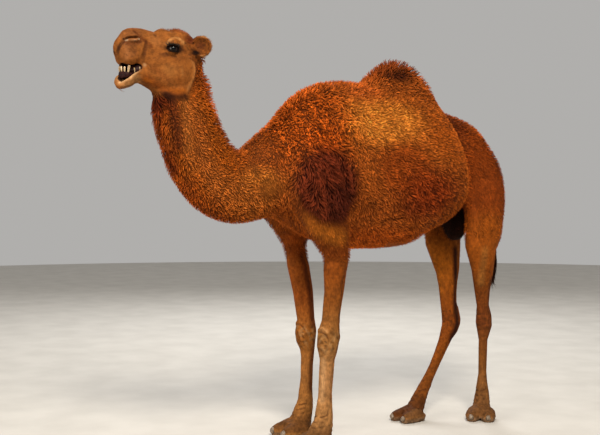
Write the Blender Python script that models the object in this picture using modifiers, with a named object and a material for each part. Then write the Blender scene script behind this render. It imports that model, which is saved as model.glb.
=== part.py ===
"""Dromedary camel, a still life-size model: head, neck, trunk, hump, legs, feet, tail, ears, eyes and toenails.

The animal faces -Y, its left side is +X, and +Z is up. Sizes are in metres. The origin is on the floor
between its four feet. Flesh is lofted round a few spines, fused into one closed body with a voxel remesh,
thinned to flat facets, and then parted into named solids by thin cuts.
"""

import math
from collections import namedtuple

import bmesh
import bpy
import numpy as np
from mathutils import Matrix, Vector

# ---- Driving sizes ----
HUMP_TOP = 2.07  # floor to the tips of the hair on the hump
BACK_TOP = 1.94  # floor to the top of the woolly shoulders
BELLY_LOW = 1.01  # floor to the belly
WIDE_LEVEL = 1.42  # height at which the barrel is widest
BARREL_HALF = 0.365  # half the barrel's width

EYE_RADIUS = 0.026
EYE_PLACE = Vector((0.082, -1.464, 2.006))  # centre of the left eye

NECK_CUT = Vector((0.0, -1.372, 1.79))  # middle of the cut between the head and the neck
NECK_CUT_NORMAL = Vector((0.0, -0.42, 0.91))

FINE_GRAIN = 0.005  # voxel of the head and the feet
COARSE_GRAIN = 0.010  # voxel of everything else
CUT = 0.0006  # width of the cuts between neighbouring parts
FRAME_SHIFT = 0.424  # how far back the middle between the feet lies from the middle of the whole animal
SIDES = 32  # points round a lofted section
STEPS = 5  # rings made between two stations

# A station of a loft: its centre, half its width from side to side, and how far it reaches on either side
# of the centre along the section's other axis. A loft that runs backwards reaches up by plus and down by
# minus. One that runs down a leg reaches back by plus and forward by minus. One that runs up the neck
# reaches to the throat by plus and to the nape by minus. peak sharpens the section at both of these ends.
Station = namedtuple("Station", "x y z side plus minus peak", defaults=[0.0])


def backward(y, half, top, low, level, peak=0.0):
    """A station of a loft that runs backwards along the middle plane, from its top and its lowest point."""
    return Station(0.0, y, level, half, top - level, level - low, peak)


TRUNK = [
    backward(-0.93, 0.07, 1.50, 1.27, 1.38),
    backward(-0.87, 0.15, 1.57, 1.22, 1.39),
    backward(-0.80, 0.195, 1.66, 1.18, 1.39, 0.1),
    backward(-0.70, 0.240, 1.79, 1.12, 1.40, 0.2),
    backward(-0.58, 0.275, 1.885, 1.07, 1.41, 0.25),
    backward(-0.42, 0.302, 1.935, 1.02, 1.42, 0.25),
    backward(-0.22, 0.335, BACK_TOP, BELLY_LOW, WIDE_LEVEL, 0.25),
    backward(0.0, BARREL_HALF, 1.93, BELLY_LOW, WIDE_LEVEL, 0.25),
    backward(0.13, BARREL_HALF, 1.90, 1.03, WIDE_LEVEL, 0.25),
    backward(0.23, 0.352, 1.86, 1.08, 1.41, 0.2),
    backward(0.32, 0.315, 1.80, 1.13, 1.41, 0.1),
    backward(0.38, 0.255, 1.72, 1.19, 1.42),
    backward(0.42, 0.170, 1.62, 1.26, 1.43),
    backward(0.44, 0.070, 1.52, 1.36, 1.44),
]

HINDQUARTERS = [
    backward(0.08, 0.19, 1.88, 1.20, 1.55, 0.2),
    backward(0.26, 0.205, 1.825, 1.18, 1.52, 0.3),
    backward(0.38, 0.210, 1.80, 1.17, 1.50, 0.35),
    backward(0.49, 0.205, 1.775, 1.19, 1.48, 0.35),
    backward(0.58, 0.190, 1.74, 1.22, 1.46, 0.3),
    backward(0.65, 0.165, 1.68, 1.27, 1.44, 0.2),
    backward(0.715, 0.125, 1.60, 1.32, 1.43, 0.1),
    backward(0.76, 0.065, 1.53, 1.38, 1.44),
]

HUMP = [
    backward(-0.42, 0.05, 1.925, 1.72, 1.80),
    backward(-0.30, 0.12, 1.95, 1.60, 1.72, 0.25),
    backward(-0.18, 0.17, 1.985, 1.55, 1.70, 0.3),
    backward(-0.09, 0.19, 2.035, 1.55, 1.70, 0.4),
    backward(-0.015, 0.20, HUMP_TOP, 1.55, 1.70, 0.5),
    backward(0.045, 0.20, HUMP_TOP - 0.005, 1.55, 1.70, 0.5),
    backward(0.11, 0.195, 2.035, 1.55, 1.69, 0.45),
    backward(0.18, 0.18, 1.965, 1.55, 1.68, 0.35),
    backward(0.25, 0.16, 1.880, 1.55, 1.66, 0.25),
    backward(0.32, 0.13, 1.825, 1.55, 1.64, 0.1),
    backward(0.38, 0.07, 1.78, 1.58, 1.66),
]

NECK = [
    Station(0, -0.58, 1.50, 0.240, 0.28, 0.29),
    Station(0, -0.72, 1.46, 0.215, 0.255, 0.265),
    Station(0, -0.845, 1.42, 0.180, 0.22, 0.218),
    Station(0, -0.965, 1.37, 0.152, 0.20, 0.188),
    Station(0, -1.08, 1.357, 0.138, 0.195, 0.186),
    Station(0, -1.19, 1.405, 0.130, 0.19, 0.190),
    Station(0, -1.27, 1.50, 0.124, 0.182, 0.186),
    Station(0, -1.325, 1.62, 0.116, 0.178, 0.176),
    Station(0, -1.358, 1.735, 0.100, 0.184, 0.170),
    Station(0, -1.375, 1.83, 0.082, 0.150, 0.172),
    Station(0, -1.365, 1.91, 0.066, 0.09, 0.155),
    Station(0, -1.345, 1.97, 0.048, 0.06, 0.110),
]

FACE = [
    backward(-1.728, 0.010, 1.998, 1.968, 1.983),
    backward(-1.722, 0.030, 2.020, 1.945, 1.985),
    backward(-1.706, 0.044, 2.050, 1.928, 1.988),
    backward(-1.682, 0.053, 2.078, 1.918, 1.990),
    backward(-1.650, 0.058, 2.097, 1.916, 1.995),
    backward(-1.612, 0.057, 2.104, 1.918, 2.000),
    backward(-1.575, 0.059, 2.098, 1.885, 1.990),
    backward(-1.530, 0.068, 2.094, 1.818, 1.975, -0.15),
    backward(-1.485, 0.083, 2.107, 1.802, 1.965, -0.25),
    backward(-1.430, 0.095, 2.121, 1.792, 1.955, -0.32),
    backward(-1.374, 0.098, 2.116, 1.797, 1.950, -0.32),
    backward(-1.325, 0.092, 2.093, 1.826, 1.950, -0.25),
    backward(-1.288, 0.074, 2.050, 1.870, 1.955, -0.1),
    backward(-1.258, 0.034, 1.990, 1.915, 1.955),
]

JAW = [
    backward(-1.706, 0.018, 1.900, 1.844, 1.872),
    backward(-1.698, 0.036, 1.904, 1.816, 1.862),
    backward(-1.680, 0.050, 1.898, 1.802, 1.856),
    backward(-1.662, 0.052, 1.896, 1.818, 1.866),
    backward(-1.625, 0.050, 1.912, 1.850, 1.886),
    backward(-1.570, 0.055, 1.940, 1.826, 1.885, -0.1),
    backward(-1.520, 0.062, 1.945, 1.812, 1.885, -0.15),
    backward(-1.460, 0.068, 1.945, 1.802, 1.880, -0.2),
    backward(-1.400, 0.070, 1.940, 1.800, 1.880, -0.2),
]

# The four legs, down from inside the trunk to inside the foot. Only the right hind leg steps forward.
FORE_LEFT = [
    Station(0.080, -0.640, 1.640, 0.110, 0.12, 0.12),
    Station(0.130, -0.690, 1.530, 0.125, 0.16, 0.14),
    Station(0.190, -0.700, 1.390, 0.118, 0.19, 0.16),
    Station(0.203, -0.660, 1.250, 0.105, 0.17, 0.160),
    Station(0.198, -0.590, 1.130, 0.088, 0.120, 0.135),
    Station(0.175, -0.535, 1.017, 0.072, 0.095, 0.095),
    Station(0.170, -0.537, 0.939, 0.058, 0.076, 0.076),
    Station(0.165, -0.544, 0.803, 0.049, 0.057, 0.057),
    Station(0.160, -0.560, 0.662, 0.047, 0.052, 0.052),
    Station(0.158, -0.571, 0.585, 0.060, 0.060, 0.063),
    Station(0.158, -0.578, 0.517, 0.055, 0.054, 0.060),
    Station(0.158, -0.583, 0.455, 0.041, 0.043, 0.043),
    Station(0.158, -0.590, 0.360, 0.036, 0.040, 0.040),
    Station(0.158, -0.598, 0.255, 0.037, 0.042, 0.042),
    Station(0.158, -0.604, 0.180, 0.045, 0.050, 0.048),
    Station(0.158, -0.612, 0.120, 0.052, 0.055, 0.060),
    Station(0.158, -0.632, 0.060, 0.062, 0.062, 0.075),
]

FORE_RIGHT = [
    Station(-0.080, -0.600, 1.640, 0.110, 0.12, 0.12),
    Station(-0.130, -0.640, 1.530, 0.125, 0.16, 0.14),
    Station(-0.185, -0.650, 1.390, 0.115, 0.18, 0.16),
    Station(-0.198, -0.615, 1.250, 0.100, 0.16, 0.130),
    Station(-0.192, -0.570, 1.140, 0.082, 0.115, 0.098),
    Station(-0.175, -0.545, 1.056, 0.066, 0.088, 0.080),
    Station(-0.170, -0.525, 0.957, 0.057, 0.074, 0.072),
    Station(-0.165, -0.490, 0.791, 0.051, 0.062, 0.062),
    Station(-0.160, -0.474, 0.640, 0.047, 0.053, 0.053),
    Station(-0.158, -0.472, 0.575, 0.058, 0.058, 0.062),
    Station(-0.158, -0.470, 0.515, 0.055, 0.052, 0.060),
    Station(-0.158, -0.463, 0.455, 0.040, 0.042, 0.042),
    Station(-0.158, -0.468, 0.350, 0.034, 0.038, 0.038),
    Station(-0.158, -0.474, 0.255, 0.036, 0.040, 0.040),
    Station(-0.158, -0.480, 0.180, 0.043, 0.048, 0.047),
    Station(-0.158, -0.492, 0.120, 0.050, 0.054, 0.060),
    Station(-0.158, -0.512, 0.060, 0.060, 0.060, 0.075),
]

THIGH_LEFT = [
    Station(0.050, 0.450, 1.680, 0.070, 0.100, 0.100),
    Station(0.095, 0.510, 1.580, 0.090, 0.150, 0.160),
    Station(0.130, 0.570, 1.460, 0.100, 0.175, 0.180),
    Station(0.152, 0.600, 1.360, 0.098, 0.168, 0.178),
    Station(0.166, 0.608, 1.260, 0.094, 0.152, 0.165),
    Station(0.172, 0.595, 1.160, 0.090, 0.146, 0.150),
]

HIND_LEFT = THIGH_LEFT + [
    Station(0.170, 0.578, 1.062, 0.086, 0.145, 0.140),
    Station(0.170, 0.575, 0.985, 0.076, 0.110, 0.112),
    Station(0.165, 0.590, 0.885, 0.060, 0.082, 0.084),
    Station(0.160, 0.593, 0.752, 0.042, 0.055, 0.055),
    Station(0.156, 0.602, 0.663, 0.034, 0.045, 0.043),
    Station(0.155, 0.606, 0.600, 0.040, 0.060, 0.048),
    Station(0.155, 0.612, 0.540, 0.042, 0.058, 0.052),
    Station(0.155, 0.607, 0.462, 0.028, 0.034, 0.032),
    Station(0.155, 0.605, 0.360, 0.024, 0.029, 0.029),
    Station(0.155, 0.603, 0.255, 0.026, 0.031, 0.031),
    Station(0.156, 0.600, 0.180, 0.036, 0.039, 0.038),
    Station(0.158, 0.598, 0.120, 0.045, 0.045, 0.048),
    Station(0.165, 0.585, 0.060, 0.055, 0.050, 0.055),
]

HIND_RIGHT = [s._replace(x=-s.x) for s in THIGH_LEFT] + [
    Station(-0.168, 0.595, 1.062, 0.086, 0.145, 0.145),
    Station(-0.160, 0.605, 0.980, 0.080, 0.125, 0.128),
    Station(-0.150, 0.615, 0.874, 0.066, 0.098, 0.098),
    Station(-0.130, 0.602, 0.779, 0.050, 0.072, 0.072),
    Station(-0.112, 0.590, 0.670, 0.042, 0.062, 0.060),
    Station(-0.104, 0.594, 0.595, 0.042, 0.072, 0.062),
    Station(-0.098, 0.592, 0.530, 0.042, 0.080, 0.062),
    Station(-0.092, 0.550, 0.455, 0.034, 0.048, 0.046),
    Station(-0.084, 0.487, 0.360, 0.029, 0.037, 0.037),
    Station(-0.074, 0.412, 0.262, 0.027, 0.033, 0.033),
    Station(-0.064, 0.340, 0.175, 0.034, 0.038, 0.038),
    Station(-0.056, 0.295, 0.120, 0.044, 0.044, 0.046),
    Station(-0.050, 0.255, 0.065, 0.052, 0.050, 0.055),
]

TAIL = [
    Station(0.0, 0.680, 1.620, 0.045, 0.045, 0.045),
    Station(0.0, 0.755, 1.550, 0.036, 0.034, 0.034),
    Station(0.0, 0.805, 1.440, 0.028, 0.026, 0.026),
    Station(0.0, 0.832, 1.310, 0.024, 0.022, 0.022),
    Station(0.0, 0.848, 1.160, 0.022, 0.020, 0.020),
    Station(0.0, 0.857, 1.020, 0.026, 0.024, 0.024),
    Station(0.0, 0.860, 0.900, 0.030, 0.026, 0.026),
    Station(0.0, 0.858, 0.800, 0.020, 0.018, 0.018),
    Station(0.0, 0.856, 0.755, 0.006, 0.006, 0.006),
]

# A foot's pad: the point on the floor under its middle, its heading in degrees away from straight ahead
# towards the left, its size compared with the left front foot, and where the leg enters it.
Foot = namedtuple("Foot", "name x y heading size leg")
FEET = [
    Foot("fore_foot_left", 0.160, -0.665, 8.0, 1.0, FORE_LEFT),
    Foot("fore_foot_right", -0.158, -0.555, -4.0, 1.0, FORE_RIGHT),
    Foot("hind_foot_left", 0.185, 0.560, 38.0, 0.90, HIND_LEFT),
    Foot("hind_foot_right", -0.045, 0.205, -2.0, 0.88, HIND_RIGHT),
]

FETLOCK_CUT = 0.165  # level of the cut between each leg and its foot


# ---- Helpers ----
def link(obj, collection):
    collection.objects.link(obj)
    return obj


def new_collection(name):
    collection = bpy.data.collections.new(name)
    bpy.context.scene.collection.children.link(collection)
    return collection


def material(name, colour, roughness):
    """A plain Principled material in a flat colour, given as linear red, green and blue."""
    made = bpy.data.materials.new(name)
    made.use_nodes = True
    shader = made.node_tree.nodes["Principled BSDF"]
    shader.inputs["Base Color"].default_value = (*colour, 1.0)
    shader.inputs["Roughness"].default_value = roughness
    shader.inputs["Metallic"].default_value = 0.0
    return made


def smooth_rows(rows, steps):
    """Catmull-Rom interpolation of a table's rows, with steps new rows for each span."""
    rows = np.array(rows, float)
    padded = np.vstack([2 * rows[0] - rows[1], rows, 2 * rows[-1] - rows[-2]])
    made = []
    for i in range(1, len(padded) - 2):
        p0, p1, p2, p3 = padded[i - 1 : i + 3]
        for t in np.arange(steps) / steps:
            bend = (2 * p0 - 5 * p1 + 4 * p2 - p3) * t**2 + (3 * p1 - p0 - 3 * p2 + p3) * t**3
            made.append(0.5 * (2 * p1 + (p2 - p0) * t + bend))
    made.append(rows[-1])
    return np.array(made)


def object_from(bm, name, collection):
    mesh = bpy.data.meshes.new(name)
    bm.to_mesh(mesh)
    bm.free()
    return link(bpy.data.objects.new(name, mesh), collection)


def loft(name, stations, collection):
    """A closed body through rounded sections that stand across a smooth spine."""
    rows = smooth_rows([tuple(s) for s in stations], STEPS)
    tangents = np.gradient(rows[:, :3], axis=0)
    bm = bmesh.new()
    rings = []
    for row, tangent in zip(rows, tangents):
        centre = Vector(row[:3])
        side, plus, minus, peak = row[3:]
        along = Vector(tangent).normalized()
        across = Vector((1, 0, 0))
        across = (across - along * across.dot(along)).normalized()
        normal = across.cross(along)
        ring = []
        for angle in np.arange(SIDES) * 2 * math.pi / SIDES:
            rise = math.sin(angle)
            rise = math.copysign(abs(rise) ** (1 + peak), rise)
            reach = plus if rise > 0 else minus
            ring.append(bm.verts.new(centre + across * (side * math.cos(angle)) + normal * (reach * rise)))
        rings.append(ring)
    for first, second in zip(rings, rings[1:]):
        for i in range(SIDES):
            j = (i + 1) % SIDES
            bm.faces.new((first[i], first[j], second[j], second[i]))
    bm.faces.new(rings[0][::-1])
    bm.faces.new(rings[-1])
    bmesh.ops.recalc_face_normals(bm, faces=bm.faces)
    return object_from(bm, name, collection)


def ball(name, centre, radii, collection, turn=None, around=12, rows=7):
    """An ellipsoid with half-axes radii, turned by a rotation matrix."""
    bm = bmesh.new()
    bmesh.ops.create_uvsphere(bm, u_segments=around, v_segments=rows, radius=1.0)
    place = Matrix.Translation(centre) @ (turn or Matrix.Identity(4)) @ Matrix.Diagonal((*radii, 1.0))
    bmesh.ops.transform(bm, matrix=place, verts=bm.verts)
    return object_from(bm, name, collection)


def box(name, centre, size, collection, turn=None):
    bm = bmesh.new()
    bmesh.ops.create_cube(bm, size=1.0)
    place = Matrix.Translation(centre) @ (turn or Matrix.Identity(4)) @ Matrix.Diagonal((*size, 1.0))
    bmesh.ops.transform(bm, matrix=place, verts=bm.verts)
    return object_from(bm, name, collection)


def evaluated_mesh(obj):
    """The object's mesh with its modifiers applied."""
    bpy.context.view_layer.update()
    graph = bpy.context.evaluated_depsgraph_get()
    return bpy.data.meshes.new_from_object(obj.evaluated_get(graph))


def apply_modifiers(obj):
    mesh = evaluated_mesh(obj)
    obj.modifiers.clear()
    obj.data = mesh


def joined(name, objects, collection):
    """One object that holds the meshes of several, which are removed."""
    bm = bmesh.new()
    for obj in objects:
        bm.from_mesh(obj.data)
        bpy.data.objects.remove(obj)
    return object_from(bm, name, collection)


def fused(name, objects, grain, rounds, triangles, collection, softness=None):
    """One closed skin round several overlapping bodies, smoothed and thinned to a number of triangles."""
    body = joined(name, objects, collection)
    remesh = body.modifiers.new("skin", "REMESH")
    remesh.mode = "VOXEL"
    remesh.voxel_size = grain
    apply_modifiers(body)
    smooth = body.modifiers.new("smooth", "SMOOTH")
    smooth.factor = 0.5
    smooth.iterations = rounds
    if softness:
        group = body.vertex_groups.new(name="softness")
        for vert in body.data.vertices:
            group.add([vert.index], softness(vert.co), "REPLACE")
        smooth.vertex_group = group.name
    apply_modifiers(body)
    thin = body.modifiers.new("thin", "DECIMATE")
    thin.ratio = triangles / (2 * len(body.data.polygons))
    apply_modifiers(body)
    return body


def boolean(obj, cutter, operation="DIFFERENCE"):
    change = obj.modifiers.new("cut", "BOOLEAN")
    change.operation = operation
    change.solver = "EXACT"
    change.object = cutter
    apply_modifiers(obj)


def trimmed(obj, point, normal):
    """Cut away all of a closed body that lies on the normal's side of a plane, and close the cut."""
    bm = bmesh.new()
    bm.from_mesh(obj.data)
    geometry = bm.verts[:] + bm.edges[:] + bm.faces[:]
    cut = bmesh.ops.bisect_plane(bm, geom=geometry, plane_co=point, plane_no=normal, clear_outer=True)
    edges = [e for e in cut["geom_cut"] if isinstance(e, bmesh.types.BMEdge)]
    bmesh.ops.holes_fill(bm, edges=edges, sides=0)
    bmesh.ops.triangulate(bm, faces=bm.faces)
    bm.to_mesh(obj.data)
    bm.free()


def loose_parts(obj, collection):
    """Split an object into one object for each connected piece of its mesh."""
    bm = bmesh.new()
    bm.from_mesh(obj.data)
    left = set(bm.faces)
    groups = []
    while left:
        seed = left.pop()
        group = [seed]
        queue = [seed]
        while queue:
            for edge in queue.pop().edges:
                for face in edge.link_faces:
                    if face in left:
                        left.remove(face)
                        group.append(face)
                        queue.append(face)
        groups.append(group)
    parts = []
    for group in groups:
        piece = bmesh.new()
        copies = {}
        for face in group:
            for vert in face.verts:
                if vert not in copies:
                    copies[vert] = piece.verts.new(vert.co)
            piece.faces.new([copies[v] for v in face.verts])
        parts.append(object_from(piece, "piece", collection))
    bm.free()
    bpy.data.objects.remove(obj)
    return parts


def middle(obj):
    points = np.array([v.co[:] for v in obj.data.vertices])
    return Vector((points.min(axis=0) + points.max(axis=0)) / 2)


# ---- Scene ----
for old in list(bpy.data.objects):
    bpy.data.objects.remove(old)
parts = new_collection("dromedary_camel")
cutters = new_collection("cutters")

WOOL = material("wool", (0.46, 0.17, 0.035), 0.9)
SHORT_HAIR = material("short_hair", (0.50, 0.25, 0.09), 0.85)
HORN = material("toenail_horn", (0.16, 0.13, 0.11), 0.55)
EYE = material("eye", (0.012, 0.009, 0.007), 0.12)


# ---- Trunk, hump, neck, legs and tail, fused ----
def softness(place):
    """How much the fused body is smoothed: fully where the limbs join the trunk, little on thin limbs."""
    if place.y > 0.79:
        return 0.1
    return min(1.0, max(0.12, 0.12 + (place.z - 0.98) / 0.12))


body = fused(
    "body",
    [
        loft("trunk", TRUNK, parts),
        loft("hindquarters", HINDQUARTERS, parts),
        loft("hump", HUMP, parts),
        loft("neck", NECK, parts),
        loft("tail", TAIL, parts),
        loft("fore_left", FORE_LEFT, parts),
        loft("fore_right", FORE_RIGHT, parts),
        loft("hind_left", HIND_LEFT, parts),
        loft("hind_right", HIND_RIGHT, parts),
    ],
    COARSE_GRAIN,
    40,
    3400,
    parts,
    softness,
)
half_cut = NECK_CUT_NORMAL.normalized() * (CUT / 2)
trimmed(body, NECK_CUT - half_cut, NECK_CUT_NORMAL)


# ---- Head and lower jaw ----
def teeth():
    """Six incisors that stand in a curved row at the tip of the lower jaw."""
    row = []
    for i in range(6):
        angle = math.radians((i - 2.5) * 26)
        place = Vector((0.030 * math.sin(angle), -1.664 - 0.034 * math.cos(angle), 1.898))
        turn = Matrix.Rotation(angle, 4, "Z") @ Matrix.Rotation(math.radians(10), 4, "X")
        row.append(box("tooth", place, (0.0105, 0.0080, 0.038), parts, turn))
    return row


GUM = [
    backward(-1.702, 0.014, 1.886, 1.835, 1.86),
    backward(-1.690, 0.030, 1.888, 1.830, 1.86),
    backward(-1.660, 0.034, 1.890, 1.830, 1.86),
    backward(-1.610, 0.034, 1.895, 1.840, 1.87),
]

head = fused(
    "head",
    [
        loft("face", FACE, parts),
        loft("jaw", JAW, parts),
        loft("gum", GUM, parts),
        loft("neck_top", NECK[6:], parts),
        ball("brow_left", (0.058, -1.455, 2.022), (0.044, 0.055, 0.042), parts),
        ball("brow_right", (-0.058, -1.455, 2.022), (0.044, 0.055, 0.042), parts),
        ball("forehead", (0.0, -1.460, 2.066), (0.056, 0.068, 0.048), parts),
        ball("nostril_left", (0.032, -1.655, 2.035), (0.032, 0.043, 0.040), parts),
        ball("nostril_right", (-0.032, -1.655, 2.035), (0.032, 0.043, 0.040), parts),
        ball("lip_left", (0.028, -1.664, 1.957), (0.034, 0.044, 0.040), parts),
        ball("lip_right", (-0.028, -1.664, 1.957), (0.034, 0.044, 0.040), parts),
    ],
    FINE_GRAIN,
    8,
    1340,
    parts,
)
trimmed(head, NECK_CUT + half_cut, -NECK_CUT_NORMAL)


# ---- Feet ----
TOE = [
    Station(0.054, -0.112, 0.022, 0.018, 0.014, 0.030),
    Station(0.053, -0.098, 0.024, 0.035, 0.028, 0.036),
    Station(0.050, -0.060, 0.026, 0.047, 0.044, 0.038),
    Station(0.046, -0.010, 0.026, 0.050, 0.058, 0.038),
    Station(0.042, 0.040, 0.026, 0.047, 0.050, 0.038),
    Station(0.038, 0.075, 0.024, 0.034, 0.030, 0.036),
    Station(0.034, 0.092, 0.022, 0.014, 0.012, 0.030),
]


def foot_block(foot):
    """A pad of two broad toes, flat underneath, fused to the end of its leg."""
    place = Matrix.Translation((foot.x, foot.y, 0.0)) @ Matrix.Rotation(math.radians(foot.heading), 4, "Z")
    place = place @ Matrix.Diagonal((foot.size, foot.size, foot.size, 1.0))
    flesh = [loft("pastern", foot.leg[-6:], parts)]
    for side in (1, -1):
        flesh.append(loft("toe", [s._replace(x=side * s.x) for s in TOE], parts))
        flesh[-1].data.transform(place)
    flesh.append(ball("instep", (0, 0.005, 0.05), (0.068, 0.085, 0.052), parts))
    flesh[-1].data.transform(place)
    block = fused(foot.name, flesh, FINE_GRAIN, 8, 190, parts)
    trimmed(block, Vector((0, 0, 0)), Vector((0, 0, -1)))
    for side, which in ((1, "left"), (-1, "right")):
        lean = Matrix.Rotation(math.radians(-28), 4, "X")
        centre = place @ Vector((side * 0.054, -0.105, 0.031))
        turn = Matrix.Rotation(math.radians(foot.heading), 4, "Z") @ lean
        radii = Vector((0.017, 0.016, 0.017)) * foot.size
        nail = ball(foot.name.replace("foot", "nail") + "_" + which, centre, radii, parts, turn, 8, 6)
        socket = ball("socket", centre, radii + Vector((CUT, CUT, CUT)), cutters, turn, 8, 6)
        boolean(block, socket)
        nail.data.materials.append(HORN)
    block.data.materials.append(SHORT_HAIR)
    return block


for foot in FEET:
    trimmed(foot_block(foot), Vector((0, 0, FETLOCK_CUT - CUT / 2)), Vector((0, 0, 1)))


# ---- Cuts that part the fused body ----
def slab(name, centre, size, tilt=0.0):
    """A thin plate that cuts its way through, tilted forwards about X by tilt degrees."""
    return box(name, Vector(centre), Vector(size), cutters, Matrix.Rotation(math.radians(tilt), 4, "X"))


CUTS = [
    slab("cut_neck_root", (0, -0.905, 1.40), (0.60, CUT, 0.80)),
    slab("cut_neck_middle", (0, -1.235, 1.455), (0.50, 0.60, CUT), 40),
    slab("cut_hump", (0, 0.035, 1.885), (0.80, 0.90, CUT), -10.1),
    slab("cut_tail", (0, 0.850, 1.360), (0.12, 0.16, CUT)),
    slab("cut_fore_left", (0.190, -0.540, 1.020), (0.26, 0.40, CUT)),
    slab("cut_fore_right", (-0.190, -0.540, 1.020), (0.26, 0.40, CUT)),
    slab("cut_hind_left", (0.190, 0.590, 1.100), (0.30, 0.44, CUT)),
    slab("cut_hind_right", (-0.190, 0.590, 1.100), (0.30, 0.44, CUT)),
    slab("cut_knee_left", (0.158, -0.580, 0.455), (0.20, 0.24, CUT)),
    slab("cut_knee_right", (-0.158, -0.463, 0.455), (0.20, 0.24, CUT)),
    slab("cut_hock_left", (0.155, 0.607, 0.480), (0.20, 0.24, CUT)),
    slab("cut_hock_right", (-0.095, 0.560, 0.480), (0.20, 0.30, CUT)),
]
for s in FEET:
    ankle = min(s.leg, key=lambda station: abs(station.z - FETLOCK_CUT))
    CUTS.append(slab("cut_" + s.name, (ankle.x, ankle.y, FETLOCK_CUT), (0.24, 0.24, CUT)))

boolean(body, joined("all_cuts", CUTS, cutters))

# Middles of the parts that the cuts leave, by which each is known
MIDDLES = {
    "trunk": (0.0, -0.05, 1.45),
    "hump": (0.0, 0.03, 1.96),
    "neck_lower": (0.0, -1.07, 1.38),
    "neck_upper": (0.0, -1.34, 1.63),
    "tail": (0.0, 0.86, 1.08),
    "forearm_left": (0.165, -0.56, 0.74),
    "forearm_right": (-0.165, -0.50, 0.74),
    "fore_cannon_left": (0.158, -0.59, 0.31),
    "fore_cannon_right": (-0.158, -0.47, 0.31),
    "gaskin_left": (0.165, 0.59, 0.79),
    "gaskin_right": (-0.14, 0.60, 0.79),
    "hind_cannon_left": (0.155, 0.605, 0.32),
    "hind_cannon_right": (-0.08, 0.46, 0.32),
}
for piece in loose_parts(body, parts):
    spot = middle(piece)
    if spot.z < FETLOCK_CUT:
        bpy.data.objects.remove(piece)
        continue
    name = min(MIDDLES, key=lambda key: (Vector(MIDDLES[key]) - spot).length)
    piece.name = name
    piece.data.materials.append(SHORT_HAIR if spot.z < 1.0 and name != "tail" else WOOL)


# ---- Lower jaw with its teeth, eyes and ears ----
boolean(head, slab("cut_jaw", (0, -1.590, 1.865), (0.30, CUT, 0.150)))
boolean(head, slab("cut_mouth", (0, -1.690, 1.905), (0.30, 0.21, CUT)))
jaw, head = sorted(loose_parts(head, parts), key=lambda obj: len(obj.data.polygons))
head.name = "head"
head.data.materials.append(SHORT_HAIR)
jaw.name = "lower_jaw"
jaw.data.materials.append(SHORT_HAIR)
boolean(jaw, joined("teeth", teeth(), cutters), "UNION")


def mirror_x(obj, name):
    """A copy of an object on the other side of the middle plane."""
    bm = bmesh.new()
    bm.from_mesh(obj.data)
    bmesh.ops.transform(bm, matrix=Matrix.Diagonal((-1, 1, 1, 1)), verts=bm.verts)
    bmesh.ops.reverse_faces(bm, faces=bm.faces)
    twin = object_from(bm, name, parts)
    twin.data.materials.append(obj.data.materials[0])
    return twin


eye = ball("eye_left", EYE_PLACE, (EYE_RADIUS,) * 3, parts)
eye.data.materials.append(EYE)
mirror_x(eye, "eye_right")
for side in (1, -1):
    place = Vector((side * EYE_PLACE.x, EYE_PLACE.y, EYE_PLACE.z))
    boolean(head, ball("eye_socket", place, (EYE_RADIUS + CUT,) * 3, cutters))

# The ear is a short scoop on a stalk, open forwards and outwards.
EAR_ROOT = Vector((0.069, -1.365, 2.011))
EAR_ALONG = Vector((0.64, 0.72, 0.26)).normalized()
EAR_OPEN = Vector((0.745, -0.663, -0.026))
EAR_LENGTH = 0.110


def ear_frame(centre):
    """The ear's own axes: X along it, Y across it and Z out of its opening."""
    out = (EAR_OPEN - EAR_ALONG * EAR_OPEN.dot(EAR_ALONG)).normalized()
    axes = Matrix((EAR_ALONG, out.cross(EAR_ALONG), out)).transposed().to_4x4()
    return centre, axes


centre, axes = ear_frame(EAR_ROOT + EAR_ALONG * (EAR_LENGTH * 0.52))
ear = ball("ear_left", centre, (EAR_LENGTH * 0.52, 0.056, 0.026), parts, axes)
out = axes.to_3x3() @ Vector((0, 0, 1))
hollow = ball("ear_hollow", centre + out * 0.020 + EAR_ALONG * 0.006, (0.044, 0.045, 0.026), cutters, axes)
boolean(ear, hollow)
ear.data.materials.append(SHORT_HAIR)
mirror_x(ear, "ear_right")
head_copy = link(bpy.data.objects.new("head_copy", head.data.copy()), cutters)
for name, side in (("ear_left", 1), ("ear_right", -1)):
    ear = bpy.data.objects[name]
    boolean(ear, head_copy)
    ear.data.transform(Matrix.Translation((side * EAR_ALONG.x * 2 * CUT, 2 * CUT * EAR_ALONG.y, 0.0)))
    ear.name = "ear_pieces"
    pieces = sorted(loose_parts(ear, parts), key=lambda obj: len(obj.data.polygons))
    ear = pieces.pop()
    ear.name = name
    ear.data.materials.append(SHORT_HAIR)
    for crumb in pieces:
        bpy.data.objects.remove(crumb)


# ---- Frame: everything hangs from one empty, which brings the origin under the middle of the animal ----
camel = link(bpy.data.objects.new("camel", None), parts)
camel.location = (0.0, FRAME_SHIFT, 0.0)
for obj in parts.objects:
    if obj is not camel:
        obj.parent = camel
for obj in cutters.objects:
    obj.hide_render = True
    obj.display_type = "WIRE"
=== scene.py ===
# %% [markdown]
# # A dromedary camel, as a museum model
# A museum camel is a sculpted body with a real coat on it. This lesson builds it in the same order: one skin
# over the whole animal, its folds pressed in one by one, then eyes, teeth and toenails, and at last the wool,
# lock by lock. The imported solids give every size, because they already hold the animal's true outline.

import math

import bmesh
import bpy
import numpy as np
from mathutils import Matrix, Vector
from mathutils.kdtree import KDTree


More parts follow.
